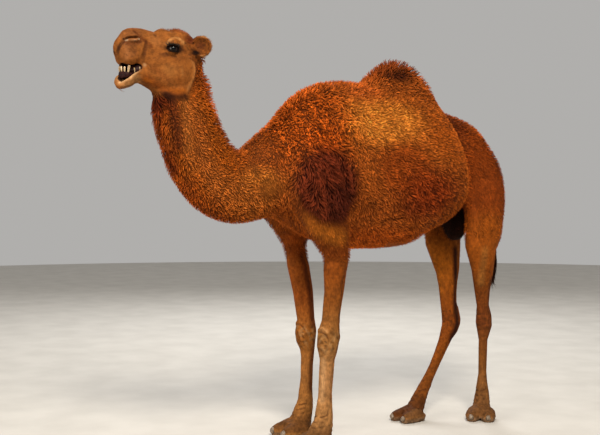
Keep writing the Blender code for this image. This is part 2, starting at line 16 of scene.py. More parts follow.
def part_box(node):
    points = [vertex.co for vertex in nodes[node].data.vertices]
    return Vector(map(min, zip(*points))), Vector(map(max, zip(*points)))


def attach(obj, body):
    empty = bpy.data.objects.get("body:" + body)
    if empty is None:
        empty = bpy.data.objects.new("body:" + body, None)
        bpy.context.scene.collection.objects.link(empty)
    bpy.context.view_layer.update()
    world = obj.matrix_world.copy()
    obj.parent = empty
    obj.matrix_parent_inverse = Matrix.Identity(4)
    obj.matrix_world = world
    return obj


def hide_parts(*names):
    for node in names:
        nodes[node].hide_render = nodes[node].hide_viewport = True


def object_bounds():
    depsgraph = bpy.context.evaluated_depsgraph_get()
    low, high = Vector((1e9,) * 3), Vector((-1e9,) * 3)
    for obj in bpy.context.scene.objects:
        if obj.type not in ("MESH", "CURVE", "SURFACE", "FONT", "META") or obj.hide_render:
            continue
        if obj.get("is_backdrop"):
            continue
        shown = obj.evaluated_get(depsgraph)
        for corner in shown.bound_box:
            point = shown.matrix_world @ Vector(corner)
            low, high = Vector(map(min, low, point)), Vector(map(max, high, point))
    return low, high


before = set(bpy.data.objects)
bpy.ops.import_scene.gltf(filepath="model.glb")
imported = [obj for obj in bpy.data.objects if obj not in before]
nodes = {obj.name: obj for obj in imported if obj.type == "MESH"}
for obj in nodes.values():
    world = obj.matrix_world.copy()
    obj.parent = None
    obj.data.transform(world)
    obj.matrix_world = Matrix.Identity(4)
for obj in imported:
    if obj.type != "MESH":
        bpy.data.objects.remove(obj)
solid_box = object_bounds()
print("solids", len(nodes), "box", [tuple(round(c, 3) for c in corner) for corner in solid_box])

# %% [markdown]
# ## Where things are
# Nearly every place on the head is given from the middle of the eye, as a taxidermist measures it: how far to
# the side, how far ahead of the eye and how far above it. The camel faces -Y, so ahead is towards -Y.

# %% Reference points
eye_low, eye_high = (np.array(corner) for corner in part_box("eye_left"))
EYE = (eye_low + eye_high) / 2
EYE_RADIUS = (eye_high - eye_low)[2] / 2


def face(side, ahead, up):
    """A point on the head from the middle of the eye: metres to the left of the middle plane, ahead, up."""
    return np.array([side, EYE[1] - ahead, EYE[2] + up])


print("eye", EYE.round(3), "radius", round(EYE_RADIUS, 4))

# %% [markdown]
# ## Helpers for points
# The skin is one large array of points. These few functions measure distances to lines, make soft falloffs,
# and make a smooth, repeatable unevenness from a handful of waves.

# %% Points, paths and waves
rng = np.random.default_rng(5)


def soft_step(low, high, values):
    """0 below low, 1 above high, with a smooth S between them. low may be above high."""
    t = np.clip((np.asarray(values) - low) / (high - low), 0, 1)
    return t * t * (3 - 2 * t)


def unit(vectors):
    return vectors / np.maximum(np.linalg.norm(vectors, axis=-1, keepdims=True), 1e-9)


def mirrored(points):
    """The same points on the camel's left side, so that one description serves both sides."""
    return points * np.where(points[:, :1] < 0, (-1, 1, 1), (1, 1, 1))


def circle(count):
    """So many angles, evenly spaced round a circle."""
    return np.linspace(0, 2 * math.pi, count, endpoint=False)


def path_distance(points, path):
    """For every point, its distance to a path of straight runs, and how far along the path that is."""
    path = np.atleast_2d(np.asarray(path, float))
    if len(path) == 1:
        return np.linalg.norm(points - path[0], axis=1), np.zeros(len(points))
    best = np.full(len(points), np.inf)
    along = np.zeros(len(points))
    for i, (a, b) in enumerate(zip(path, path[1:])):
        t = np.clip((points - a) @ (b - a) / max((b - a) @ (b - a), 1e-12), 0, 1)
        gap = np.linalg.norm(points - a - t[:, None] * (b - a), axis=1)
        along = np.where(gap < best, (i + t) / (len(path) - 1), along)
        best = np.minimum(best, gap)
    return best, along


def smooth_path(points, steps=6):
    """A path through a few points, rounded by Catmull-Rom interpolation."""
    points = np.asarray(points, float)
    padded = np.vstack([2 * points[0] - points[1], points, 2 * points[-1] - points[-2]])
    made = []
    for i in range(1, len(padded) - 2):
        p0, p1, p2, p3 = padded[i - 1 : i + 3]
        for t in np.arange(steps) / steps:
            bend = (2 * p0 - 5 * p1 + 4 * p2 - p3) * t**2 + (3 * p1 - p0 - 3 * p2 + p3) * t**3
            made.append(0.5 * (2 * p1 + (p2 - p0) * t + bend))
    return np.array(made + [points[-1]])


def waves(points, size, seed, count=14):
    """Smooth unevenness between about -1 and 1, with bumps of about the given size in metres."""
    maker = np.random.default_rng(seed)
    total = np.zeros(len(points))
    for _ in range(count):
        way = unit(maker.normal(size=3)) * maker.uniform(0.7, 1.4) * 2 * math.pi / (size * 2)
        total += np.sin(points @ way + maker.uniform(0, 2 * math.pi))
    return total / math.sqrt(count / 2)


# %% [markdown]
# ## Mesh in and out
# Blender's own loops over vertices are slow, so meshes pass to and from numpy as whole arrays.

# %% Arrays to meshes
def in_scene(name, data):
    """A new object in the scene that holds a mesh, a light or a camera."""
    obj = bpy.data.objects.new(name, data)
    bpy.context.scene.collection.objects.link(obj)
    return obj


def new_mesh(name, points, faces, material=None, smooth=True):
    """A mesh object from an array of points and an array, or a list of arrays, of faces."""
    groups = faces if isinstance(faces, list) else [faces]
    mesh = bpy.data.meshes.new(name)
    loops = np.concatenate([group.ravel() for group in groups]).astype(np.int32)
    sizes = np.concatenate([np.full(len(group), group.shape[1]) for group in groups])
    mesh.vertices.add(len(points))
    set_points(mesh, points)
    mesh.loops.add(len(loops))
    mesh.loops.foreach_set("vertex_index", loops)
    mesh.polygons.add(len(sizes))
    mesh.polygons.foreach_set("loop_start", np.concatenate([[0], np.cumsum(sizes)[:-1]]).astype(np.int32))
    mesh.update(calc_edges=True)
    mesh.polygons.foreach_set("use_smooth", np.full(len(sizes), smooth))
    if material:
        mesh.materials.append(material)
    return in_scene(name, mesh)


def set_points(mesh, points):
    mesh.vertices.foreach_set("co", np.asarray(points, np.float32).ravel())


def points_of(mesh):
    flat = np.empty(len(mesh.vertices) * 3, np.float32)
    mesh.vertices.foreach_get("co", flat)
    return flat.reshape(-1, 3).astype(float)


def triangles_of(mesh):
    mesh.calc_loop_triangles()
    flat = np.empty(len(mesh.loop_triangles) * 3, np.int32)
    mesh.loop_triangles.foreach_get("vertices", flat)
    return flat.reshape(-1, 3)


def edges_of(mesh):
    flat = np.empty(len(mesh.edges) * 2, np.int32)
    mesh.edges.foreach_get("vertices", flat)
    return flat.reshape(-1, 2)


def normals_of(points, triangles):
    """A unit normal at every point, from the triangles round it."""
    a, b, c = (points[triangles[:, i]] for i in range(3))
    flat = np.cross(b - a, c - a)
    total = np.zeros_like(points)
    for axis in range(3):
        for corner in range(3):
            total[:, axis] += np.bincount(triangles[:, corner], flat[:, axis], len(points))
    return unit(total)


def applied(obj):
    """Applies all of an object's modifiers to its mesh."""
    graph = bpy.context.evaluated_depsgraph_get()
    mesh = bpy.data.meshes.new_from_object(obj.evaluated_get(graph))
    obj.modifiers.clear()
    obj.data = mesh
    return obj


# %% [markdown]
# ## The flesh under the coat
# A copy of each solid of flesh is merged into one mesh. The lower lip is hollowed first: a camel's lower lip
# hangs like a spout, so a slanting plane takes off its front, and a rounded wedge scoops out the inside.
# The eyes are put in too, so that the lids later have a ball to lie on. A voxel remesh then makes one skin.

# %% One body from many solids
APART = ("eye_left", "eye_right")
FLESH = [name for name in nodes if "nail" not in name and name not in APART]


def merged(names):
    """Copies of some solids as one bmesh, with the doubled corners of their loose triangles merged."""
    bm = bmesh.new()
    for name in names:
        bm.from_mesh(nodes[name].data)
    bmesh.ops.remove_doubles(bm, verts=bm.verts, dist=1e-6)
    return bm


def object_of(bm, name):
    mesh = bpy.data.meshes.new(name)
    bm.to_mesh(mesh)
    bm.free()
    return in_scene(name, mesh)


def ball(centre, radii, around=32, rows=20):
    bm = bmesh.new()
    bmesh.ops.create_uvsphere(bm, u_segments=around, v_segments=rows, radius=1.0)
    place = Matrix.Translation(Vector(centre)) @ Matrix.Diagonal((*radii, 1.0))
    bmesh.ops.transform(bm, matrix=place, verts=bm.verts)
    return bm


def combine(obj, other, how):
    """Cuts or joins an object with another, which is used up."""
    change = obj.modifiers.new("change", "BOOLEAN")
    change.operation = how
    change.solver = "EXACT"
    change.object = other
    bpy.context.view_layer.update()
    applied(obj)
    bpy.data.objects.remove(other)


def wedge(rows, around=24):
    """A closed, rounded bar along Y through rows of (point, half width, half height)."""
    bm = bmesh.new()
    rings = []
    turn = circle(around)
    for middle, half, high in rows:
        ring = np.stack([half * np.cos(turn), 0 * turn, high * np.sin(turn)], 1) + middle
        rings.append([bm.verts.new(p) for p in ring])
    for first, second in zip(rings, rings[1:]):
        for i in range(around):
            after = (i + 1) % around
            bm.faces.new((first[i], first[after], second[after], second[i]))
    bm.faces.new(rings[0])
    bm.faces.new(rings[-1])
    bmesh.ops.recalc_face_normals(bm, faces=bm.faces)
    return bm


# %% Open the mouth
# The lower lip hangs open: seen from the side its rim falls from the corner of the mouth to the front, and
# past the middle it rises again, because a camel chews with its jaw swung to one side
LIP_FRONT = 0.24  # the front of the lower lip, ahead of the eye
RIM_LOW = face(0.004, LIP_FRONT, -0.169)
RIM_FALL = 0.843  # fall of the rim for each metre ahead
FAR_RISE = 1.5  # rise of the rim for each metre past the middle


def slab(corners):
    """The convex solid round some points."""
    bm = bmesh.new()
    for corner in corners:
        bm.verts.new(corner)
    bmesh.ops.convex_hull(bm, input=bm.verts)
    return bm


gape = []
for ahead in (0.06, 0.3):
    low = RIM_LOW + (0, LIP_FRONT - ahead, RIM_FALL * (LIP_FRONT - ahead))
    gape += [low, low + (0.12, 0, 0), low + (-0.1, 0, 0.1 * FAR_RISE)]
    gape += [low + (0.12, 0, 0.3), low + (-0.1, 0, 0.3)]
jaw = object_of(merged(["lower_jaw"]), "jaw")
combine(jaw, object_of(slab(gape), "gape"), "DIFFERENCE")
# what that cut leaves of the solid's own teeth on the right goes too, and finer teeth come later
stumps = [face(side, ahead, up) for side in (-0.12, 0.004) for ahead in (0.16, 0.3) for up in (-0.108, 0.0)]
combine(jaw, object_of(slab(stumps), "stumps"), "DIFFERENCE")
# rows of the scoop: ahead of the eye, below the eye, half width, half height
SCOOP = [
    (0.23, 0.145, 0.01, 0.022),
    (0.22, 0.139, 0.027, 0.036),
    (0.2, 0.131, 0.038, 0.043),
    (0.17, 0.11, 0.041, 0.041),
    (0.14, 0.092, 0.039, 0.034),
    (0.105, 0.086, 0.034, 0.026),
    (0.08, 0.084, 0.018, 0.012),
]
scoop = object_of(wedge([(face(0, a, -d), w, h) for a, d, w, h in SCOOP]), "scoop")
combine(jaw, scoop, "DIFFERENCE")
head = object_of(merged(["head"]), "head_flesh")
palate = object_of(ball(face(0, 0.165, -0.098), (0.034, 0.085, 0.03)), "palate")
combine(head, palate, "DIFFERENCE")
print("jaw", len(jaw.data.polygons), "head", len(head.data.polygons))

# %% Voxel remesh
GRAIN = 0.0055  # side of a voxel, in metres

# the soft parts between the thighs, which the solids don't have
filler = object_of(ball((0, 0.95, 1.16), (0.07, 0.11, 0.13)), "filler")
body = merged([name for name in FLESH if name not in ("lower_jaw", "head")] + list(APART))
for piece in (jaw, head, filler):
    body.from_mesh(piece.data)
    bpy.data.objects.remove(piece)
body = object_of(body, "body")
remesh = body.modifiers.new("skin", "REMESH")
remesh.mode = "VOXEL"
remesh.voxel_size = GRAIN
applied(body)
print("skin grain", len(body.data.vertices), "points")

# %% [markdown]
# ## Round the facets
# The solids are faceted, and a camel isn't. Averaging each point with its neighbours melts the facets away.
# On the barrel and the neck plain averaging does it. On thin legs, ears and lips it would shrink them, so
# there every step inwards is followed by a step back out, which is Taubin's way of smoothing. Where wool will
# hide the skin, the mesh is thinned afterwards, so that its points are spent on the face and the legs.

# %% Smoothing
def neighbour_mean(points, edges, degree):
    total = np.empty_like(points)
    for axis in range(3):
        column = points[:, axis]
        first = np.bincount(edges[:, 0], column[edges[:, 1]], len(points))
        total[:, axis] = first + np.bincount(edges[:, 1], column[edges[:, 0]], len(points))
    return total / degree[:, None]


def smoothed(points, edges, rounds, share, back=0.0):
    """Moves each point towards its neighbours' mean by a share, and, if back is given, out again by back."""
    degree = np.maximum(np.bincount(edges.ravel(), minlength=len(points)), 1)
    share = np.broadcast_to(np.asarray(share, float), len(points))[:, None]
    for _ in range(rounds):
        points = points + share * 0.5 * (neighbour_mean(points, edges, degree) - points)
        if back:
            points = points - share * back * (neighbour_mean(points, edges, degree) - points)
    return points


# %% Regions of the body
# Each region is 1 inside and fades to 0 over a few centimetres.
# The border between face and neck, seen from the side: (ahead of the eye, above the eye)
CHEEK_LINE = smooth_path(
    [(0.4, -0.21), (0.2, -0.19), (0.12, -0.172), (0.05, -0.208), (-0.03, -0.226), (-0.09, -0.19),
     (-0.122, -0.12), (-0.122, -0.04), (-0.128, 0.03), (-0.15, 0.09), (-0.17, 0.16)]
)
FAR_BEHIND = 0.6  # farther behind the eye than this, no exact distance is needed
ear_low, ear_high = (np.array(corner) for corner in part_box("ear_left"))
EAR_MIDDLE = (ear_low + ear_high) / 2
EAR_REACH = np.linalg.norm(ear_high - ear_low) / 2


def past_the_cheek(points):
    """Metres behind the border between face and neck; negative on the face and the ears."""
    side_view = np.stack([EYE[1] - points[:, 1], points[:, 2] - EYE[2]], 1)
    far = side_view[:, 0] < -FAR_BEHIND
    gap = np.full(len(points), FAR_BEHIND)
    gap[~far] = path_distance(side_view[~far], CHEEK_LINE)[0]
    inside = np.zeros(len(points), bool)
    outline = np.vstack([CHEEK_LINE, (0.4, 0.16)])
    for (x0, y0), (x1, y1) in zip(outline, np.roll(outline, -1, axis=0)):
        crosses = (y0 > side_view[:, 1]) != (y1 > side_view[:, 1])
        inside ^= crosses & (side_view[:, 0] < x0 + (side_view[:, 1] - y0) * (x1 - x0) / (y1 - y0 + 1e-12))
    ear = np.linalg.norm(mirrored(points) - EAR_MIDDLE, axis=1) - EAR_REACH
    ear = np.where(np.abs(points[:, 0]) > ear_low[0] + 0.004, ear, FAR_BEHIND)
    return np.minimum(np.where(inside, -gap, gap), ear)


def of_the_head(points):
    """1 on the face, 0 on the neck."""
    return soft_step(0.012, -0.012, past_the_cheek(points))


BETWEEN_LEGS = 0.3  # the forelegs stand ahead of this place and the hind legs behind it


def of_the_legs(points):
    """1 on the bare legs and feet, 0 on the woolly trunk."""
    front = soft_step(1.02, 0.92, points[:, 2]) * (points[:, 1] < BETWEEN_LEGS)
    back = soft_step(1.1, 1.0, points[:, 2]) * (points[:, 1] >= BETWEEN_LEGS)
    return np.where(points[:, 1] > 1.2, 0.0, front + back)


def of_the_tail(points):
    """1 on the tail, 0 elsewhere."""
    return soft_step(1.2, 1.225, points[:, 1]) * soft_step(1.5, 1.45, points[:, 2])


# %% Smooth the skin
MELTING_ROUNDS = 70  # plain averaging, on the barrel and the neck
TAUBIN_ROUNDS = 22
STEP_BACK = 0.53  # just over the half step inwards, so that nothing shrinks

skin_points = points_of(body.data)
skin_edges = edges_of(body.data)
plain = (1 - of_the_head(skin_points)) * (1 - of_the_legs(skin_points)) * (1 - of_the_tail(skin_points))
skin_points = smoothed(skin_points, skin_edges, MELTING_ROUNDS, plain)
skin_points = smoothed(skin_points, skin_edges, TAUBIN_ROUNDS, 1.0, STEP_BACK)
set_points(body.data, skin_points)
print("smoothed", len(skin_points))

# %% Thin the mesh under the wool
WOOLLY_POINTS = 24000  # enough under the wool, where nothing of the skin's fine shape shows


def thinned(obj, weights, left):
    """Collapses edges where weights is 1 until the whole mesh has so many points left."""
    group = obj.vertex_groups.new(name="thin")
    group.add(np.flatnonzero(weights > 0.5).tolist(), 1.0, "REPLACE")
    thin = obj.modifiers.new("thin", "DECIMATE")
    thin.ratio = left / len(obj.data.vertices)
    thin.vertex_group = group.name
    applied(obj)
    obj.vertex_groups.clear()


thinned(body, plain, WOOLLY_POINTS + np.count_nonzero(plain <= 0.5))
print("thinned to", len(body.data.vertices), "points")

# %% [markdown]
# ## A finer mesh where the detail is
# Lids and nostrils are only a few millimetres thick, so the mesh round the eyes and over the muzzle is split
# once more. Every point then sinks by the depth of the coat that will stand on it: a few millimetres on the
# face and the legs, and several centimetres under the crest of the hump.

# %% Refine the face
def split_where(obj, chosen):
    """Splits every edge between two chosen points in half, and leaves triangles."""
    bm = bmesh.new()
    bm.from_mesh(obj.data)
    bm.verts.ensure_lookup_table()
    split = [e for e in bm.edges if chosen[e.verts[0].index] and chosen[e.verts[1].index]]
    bmesh.ops.subdivide_edges(bm, edges=split, cuts=1, use_grid_fill=True)
    bmesh.ops.triangulate(bm, faces=[f for f in bm.faces if len(f.verts) > 3])
    bm.to_mesh(obj.data)
    bm.free()


NOSTRIL = face(0.05, 0.2, 0.035)


def near_eyes_or_nostrils(points):
    """Whether each point lies on the lids or within 5 cm of a nostril."""
    left = mirrored(points)
    eye = np.linalg.norm(left - EYE, axis=1) < EYE_RADIUS + 0.014
    return eye | (np.linalg.norm(left - NOSTRIL, axis=1) < 0.05)


split_where(body, past_the_cheek(points_of(body.data)) < 0.0)
split_where(body, near_eyes_or_nostrils(points_of(body.data)))
skin_points = points_of(body.data)
skin_edges = edges_of(body.data)
skin_triangles = triangles_of(body.data)
print("refined to", len(skin_points), "points")


# %% Depth of the coat
def blob(points, centre, reach, inner=0.15):
    """1 near a centre, fading to 0 at reach, which may be one distance or three half-axes."""
    gap = np.linalg.norm((points - centre) / np.broadcast_to(reach, 3), axis=1)
    return soft_step(1.0, inner, gap)


def stripe(points, path, reach, inner=0.15):
    """1 on a path, fading to 0 at reach from it."""
    return soft_step(reach, inner * reach, path_distance(points, path)[0])


HUMP_CREST = smooth_path(
    [(0, 0.22, 2.02), (0, 0.34, 2.06), (0, 0.46, 2.07), (0, 0.56, 2.02), (0, 0.64, 1.95)]
)
BACK_LINE = smooth_path(
    [(0, -0.4, 1.74), (0, -0.26, 1.84), (0, -0.06, 1.92), (0, 0.12, 1.94), (0, 0.24, 1.98)]
)
NAPE_LINE = smooth_path(
    [(0, -0.9, 1.98), (0, -0.85, 1.86), (0, -0.82, 1.74), (0, -0.76, 1.62), (0, -0.66, 1.54)]
)
BEARD_LINE = smooth_path(
    [(0, -1.06, 1.8), (0, -1.11, 1.72), (0, -1.09, 1.62), (0, -1.06, 1.54), (0, -1.01, 1.46)]
)
PATCH_LEFT = np.array([0.3, -0.24, 1.38])  # middle of the dark shoulder patch


def coat_depth(points):
    """How deep the coat is at each point, in metres."""
    left = mirrored(points)
    behind = past_the_cheek(points)
    head = soft_step(0.012, -0.012, behind)
    legs = of_the_legs(points)
    depth = np.full(len(points), 0.016)
    depth += 0.026 * stripe(points, HUMP_CREST, 0.16) + 0.01 * stripe(points, BACK_LINE, 0.16)
    depth += 0.016 * stripe(points, NAPE_LINE, 0.1) + 0.014 * stripe(points, BEARD_LINE, 0.1)
    depth += 0.008 * blob(left, PATCH_LEFT, (0.25, 0.24, 0.24))
    depth -= 0.008 * soft_step(0.9, 1.02, points[:, 1]) * soft_step(1.55, 1.35, points[:, 2])
    depth *= 0.45 + 0.55 * soft_step(0.0, 0.09, behind)
    crown = stripe(points, [face(0, -0.02, 0.11), face(0, -0.12, 0.06)], 0.07)
    depth = depth * (1 - head) + head * (0.002 + 0.008 * crown)
    depth = depth * (1 - legs) + legs * (0.0015 + 0.005 * soft_step(0.75, 1.0, points[:, 2]))
    depth *= soft_step(0.02, 0.1, points[:, 2])
    return np.where(of_the_tail(points) > 0.5, 0.008, depth)


normals = normals_of(skin_points, skin_triangles)
depth = coat_depth(skin_points)
skin_points = skin_points - normals * depth[:, None]
print("coat from", round(depth.min() * 1000), "to", round(depth.max() * 1000), "mm")

# %% [markdown]
# ## Modelling tools
# Clay is pushed up or pressed in along a line. `press` does the same to the skin: it moves each point near a
# path along its own normal, up for a ridge and down for a crease, with a soft edge. Nothing is ever glued on,
# so no seam can show.

# %% Ridges and creases
def near(points, path, reach):
    """Indices of the points in a box round a path."""
    path = np.atleast_2d(path)
    low, high = path.min(axis=0) - reach, path.max(axis=0) + reach
    return np.flatnonzero(((points > low) & (points < high)).all(axis=1))


def press(points, normals, path, width, height, taper=0.0, ripple=0.0):
    """Raises, or with a negative height sinks, the skin along a path. taper thins both ends of the line."""
    path = smooth_path(path) if len(path) > 2 else np.asarray(path, float)
    some = near(points, path, width)
    gap, along = path_distance(points[some], path)
    strength = np.clip(1 - (gap / width) ** 2, 0, 1) ** 2
    if taper:
        strength *= soft_step(0, taper, along) * soft_step(1, 1 - taper, along)
    if ripple:
        strength *= 1 + ripple * waves(points[some], width, 77)
    points[some] += normals[some] * (height * strength)[:, None]


def both_sides(path):
    """A path on the left of the head, and its mirror image on the right."""
    path = np.asarray(path, float)
    return path, path * (-1, 1, 1)


def faces_of(rows):
    """A path on the head from rows of (side, ahead, up) from the eye."""
    return np.array([face(*row) for row in rows])


# %% [markdown]
# ## The head
# What makes a camel's face is its muzzle. The nostril is a long slit that can shut against sand, with a pale
# rim below it, and from its front end a crease runs down to the split in the upper lip. Above the eye stands
# a heavy ridge of bone, which turns down behind the eye into the edge of the cheek.

# %% Folds of the head
# path in (side, ahead, up) from the eye, width, height, taper
FOLDS = {
    "brow": ([(0.076, 0.034, 0.022), (0.081, 0.018, 0.038), (0.074, -0.015, 0.05), (0.082, -0.046, 0.046),
        (0.092, -0.069, 0.022), (0.096, -0.081, -0.016)], 0.017, 0.006, 0.2),
    "cheek_edge": ([(0.096, -0.081, -0.016), (0.096, -0.105, -0.06), (0.093, -0.115, -0.105),
        (0.083, -0.106, -0.15), (0.08, -0.085, -0.19)], 0.02, 0.005, 0.15),
    "behind_cheek": ([(0.09, -0.118, -0.01), (0.088, -0.135, -0.07), (0.082, -0.138, -0.12),
        (0.074, -0.125, -0.17)], 0.022, -0.005, 0.15),
    "temple": ([(0.088, -0.06, 0.055), (0.088, -0.095, 0.04)], 0.035, -0.005, 0.0),
    "tear_groove": ([(0.07, 0.048, -0.006), (0.076, 0.036, -0.022), (0.085, 0.012, -0.034),
        (0.092, -0.015, -0.036)], 0.007, -0.0028, 0.2),
    "under_eye": ([(0.074, 0.046, -0.03), (0.084, 0.015, -0.048), (0.092, -0.025, -0.048)], 0.012, 0.0028,
        0.3),
    "facial_crest": ([(0.086, 0.02, -0.062), (0.074, 0.07, -0.062), (0.062, 0.105, -0.06)], 0.02, 0.0035,
        0.3),
    "cheek_hollow": ([(0.07, 0.095, -0.095), (0.074, 0.055, -0.12), (0.08, 0.02, -0.15)], 0.03, -0.0035, 0.3),
    "jaw_edge": ([(0.046, 0.12, -0.15), (0.05, 0.08, -0.172), (0.066, 0.006, -0.205), (0.08, -0.05, -0.212)],
        0.016, 0.0045, 0.2),
    "nose_fold": ([(0.03, 0.18, 0.078), (0.046, 0.16, 0.052), (0.054, 0.122, 0.026), (0.058, 0.1, 0.008)],
        0.008, -0.0038, 0.2),
    "nose_fold_edge": ([(0.028, 0.165, 0.084), (0.044, 0.145, 0.058), (0.052, 0.108, 0.036)], 0.01, 0.0025,
        0.3),
    "nostril_flap": ([(0.03, 0.236, 0.044), (0.05, 0.214, 0.054), (0.056, 0.19, 0.057), (0.05, 0.16, 0.052)],
        0.013, 0.005, 0.2),
    "nostril_rim": ([(0.042, 0.23, 0.026), (0.058, 0.206, 0.027), (0.06, 0.185, 0.029),
        (0.054, 0.163, 0.037)], 0.0085, 0.006, 0.2),
    "nostril_slit": ([(0.034, 0.236, 0.033), (0.052, 0.214, 0.04), (0.058, 0.192, 0.043),
        (0.052, 0.16, 0.044)], 0.0058, -0.019, 0.12),
    "under_nostril": ([(0.04, 0.234, 0.012), (0.058, 0.21, 0.01), (0.06, 0.18, 0.014), (0.054, 0.155, 0.026)],
        0.01, -0.0035, 0.25),
    "lip_crease": ([(0.044, 0.234, 0.03), (0.038, 0.248, 0.014), (0.026, 0.257, -0.012),
        (0.014, 0.26, -0.036), (0.01, 0.258, -0.056), (0.014, 0.248, -0.078)], 0.009, -0.0075, 0.06),
    "lip_split": ([(0.0, 0.262, -0.04), (0.0, 0.257, -0.056), (0.0, 0.245, -0.078), (0.0, 0.225, -0.096)],
        0.011, -0.005, 0.12),
    "lip_lobe": ([(0.038, 0.225, -0.018), (0.04, 0.212, -0.05), (0.044, 0.18, -0.052)], 0.038, 0.0065, 0.0),
    "lip_back": ([(0.05, 0.15, -0.07), (0.055, 0.147, -0.056), (0.056, 0.138, -0.03), (0.056, 0.128, 0.01),
        (0.054, 0.126, 0.026)], 0.013, -0.005, 0.2),
    "lip_edge": ([(0.0, 0.246, -0.084), (0.03, 0.226, -0.09), (0.046, 0.19, -0.09), (0.05, 0.15, -0.078)],
        0.008, 0.003, 0.0),
    "lower_rim": ([(0.05, 0.134, -0.082), (0.049, 0.165, -0.106), (0.047, 0.196, -0.134),
        (0.03, 0.226, -0.158), (0.006, 0.238, -0.172)], 0.012, 0.0035, 0.0),
    "far_rim": ([(-0.004, 0.24, -0.166), (-0.018, 0.24, -0.146), (-0.032, 0.23, -0.122)], 0.018, 0.006, 0.0),
    "chin": ([(0.02, 0.236, -0.188), (0.0, 0.238, -0.19)], 0.022, 0.004, 0.0),
    "corner": ([(0.048, 0.142, -0.068), (0.054, 0.125, -0.074), (0.058, 0.108, -0.084)], 0.008, -0.004, 0.3),
    "forehead": ([(0.0, 0.01, 0.104), (0.0, -0.03, 0.108), (0.0, -0.06, 0.1)], 0.04, 0.0055, 0.0),
    "bridge": ([(0.0, 0.15, 0.09), (0.0, 0.08, 0.082), (0.0, 0.02, 0.1)], 0.022, 0.003, 0.3),
    "bridge_side": ([(0.036, 0.11, 0.058), (0.048, 0.07, 0.045), (0.058, 0.045, 0.04)], 0.024, -0.004, 0.3),
}
normals = normals_of(skin_points, skin_triangles)
for name, (rows, width, height, taper) in FOLDS.items():
    one_sided = name == "far_rim" or not any(row[0] for row in rows)
    for path in [faces_of(rows)] if one_sided else both_sides(faces_of(rows)):
        press(skin_points, normals, path, width, height, taper)
skin_points = smoothed(skin_points, skin_edges, 3, of_the_head(skin_points))
print("folds of the head:", len(FOLDS))

# %% [markdown]
# ## Eyelids
# Each lid is part of a slightly larger ball than the eye. A point that lies over the eye is moved out to that
# ball, unless it falls in the almond-shaped opening, where it is moved in behind the eye. The step between
# the two is the rim of the lid.

# %% Lids
# The opening as angles at the eye's centre: from its middle to either corner, to the upper and the lower rim
OPEN_HALF_WIDE = math.radians(68)
OPEN_UP = math.radians(33)
OPEN_DOWN = math.radians(29)
LID_THICK = 0.0034
LID_REACH = 0.06  # the lids change nothing farther from the eye's centre than this
SUNK = 0.004  # how far behind the eye's surface the skin lies in the opening


def eye_axes(side):
    """Out of the eye, backwards along the lids, and up."""
    out = unit(np.array([side * 0.9, -0.42, 0.02]))
    back = unit(np.cross(np.array([0, 0.14, 1.0]), out) * side)  # the front corner lies a little higher
    up = unit(np.cross(out, back) * side)
    return out, back, up * np.sign(up[2])


def lid_shape(points, side):
    """Distance from the eye's centre, and distance outside the opening, measured on the ball."""
    out, back, up = eye_axes(side)
    away = points - EYE * (side, 1, 1)
    radius = np.linalg.norm(away, axis=1)
    turn = np.arctan2(away @ back, away @ out)
    rise = np.arctan2(away @ up, np.hypot(away @ back, away @ out))
    arch = np.sqrt(np.clip(1 - (turn / OPEN_HALF_WIDE) ** 2, 0, 1))
    outside = np.maximum(rise - OPEN_UP * arch, -OPEN_DOWN * arch - rise)
    outside = np.maximum(outside, np.abs(turn) - OPEN_HALF_WIDE)
    return radius, outside * EYE_RADIUS


def shape_lids(points, side):
    """Moves the skin over one eye out to the lids, or in behind the eye where they are open."""
    centre = EYE * (side, 1, 1)
    some = near(points, centre, LID_REACH)
    radius, outside = lid_shape(points[some], side)
    above = soft_step(-0.008, 0.012, (points[some] - centre)[:, 2])
    fold = (0.0006 + 0.0022 * above) * np.exp(-(((outside - 0.008) / 0.0026) ** 2))
    rim = soft_step(-0.0012, 0.0006, outside)
    wanted = EYE_RADIUS - SUNK + (LID_THICK + SUNK) * rim + 0.003 * above * rim - fold
    share = np.where(outside < 0, 1.0, soft_step(0.034, 0.002, outside)) * (radius < LID_REACH)
    moved = radius + (wanted - radius) * share
    points[some] = centre + (points[some] - centre) * (moved / radius)[:, None]


for side in (1, -1):
    shape_lids(skin_points, side)
print("lids over a ball of", round(EYE_RADIUS * 1000), "mm")

# %% [markdown]
# ## Legs and feet
# Below the wool a camel's leg is bone, tendon and hard skin. Places on a leg are given as a height and an
# angle round the leg: 0 is its front, 90 its outer side and 180 its back. How thick the leg is at a place is
# measured on the skin itself.

# %% Places on a leg
def leg_points(side, hind):
    """The skin's points on one leg: side is 1 on the left and -1 on the right."""
    here = (skin_points[:, 0] * side > 0) & (skin_points[:, 2] < 1.1)
    own = (skin_points[:, 1] > BETWEEN_LEGS) == hind
    return skin_points[here & own & (skin_points[:, 1] < 1.21)]


def on_leg(leg, side, height, angle, out=0.0):
    """The point on a leg's surface at a height and an angle round it, moved out by a distance."""
    ring = leg[np.abs(leg[:, 2] - height) < 0.008]
    centre = (ring.min(axis=0) + ring.max(axis=0)) / 2
    turn = math.radians(angle)
    way = np.array([side * math.sin(turn), -math.cos(turn)])
    flat = ring[:, :2] - centre[:2]
    facing = flat @ way > 0.85 * np.linalg.norm(flat, axis=1)
    reach = np.median(np.linalg.norm(flat[facing], axis=1)) + out
    return np.array([*(centre[:2] + way * reach), height])


# %% Lines on the legs
LEGS = {(side, hind): leg_points(side, hind) for side in (1, -1) for hind in (False, True)}
KNEE = 0.545  # height of the middle of the front knees
HOCK = 0.575  # height of the hocks

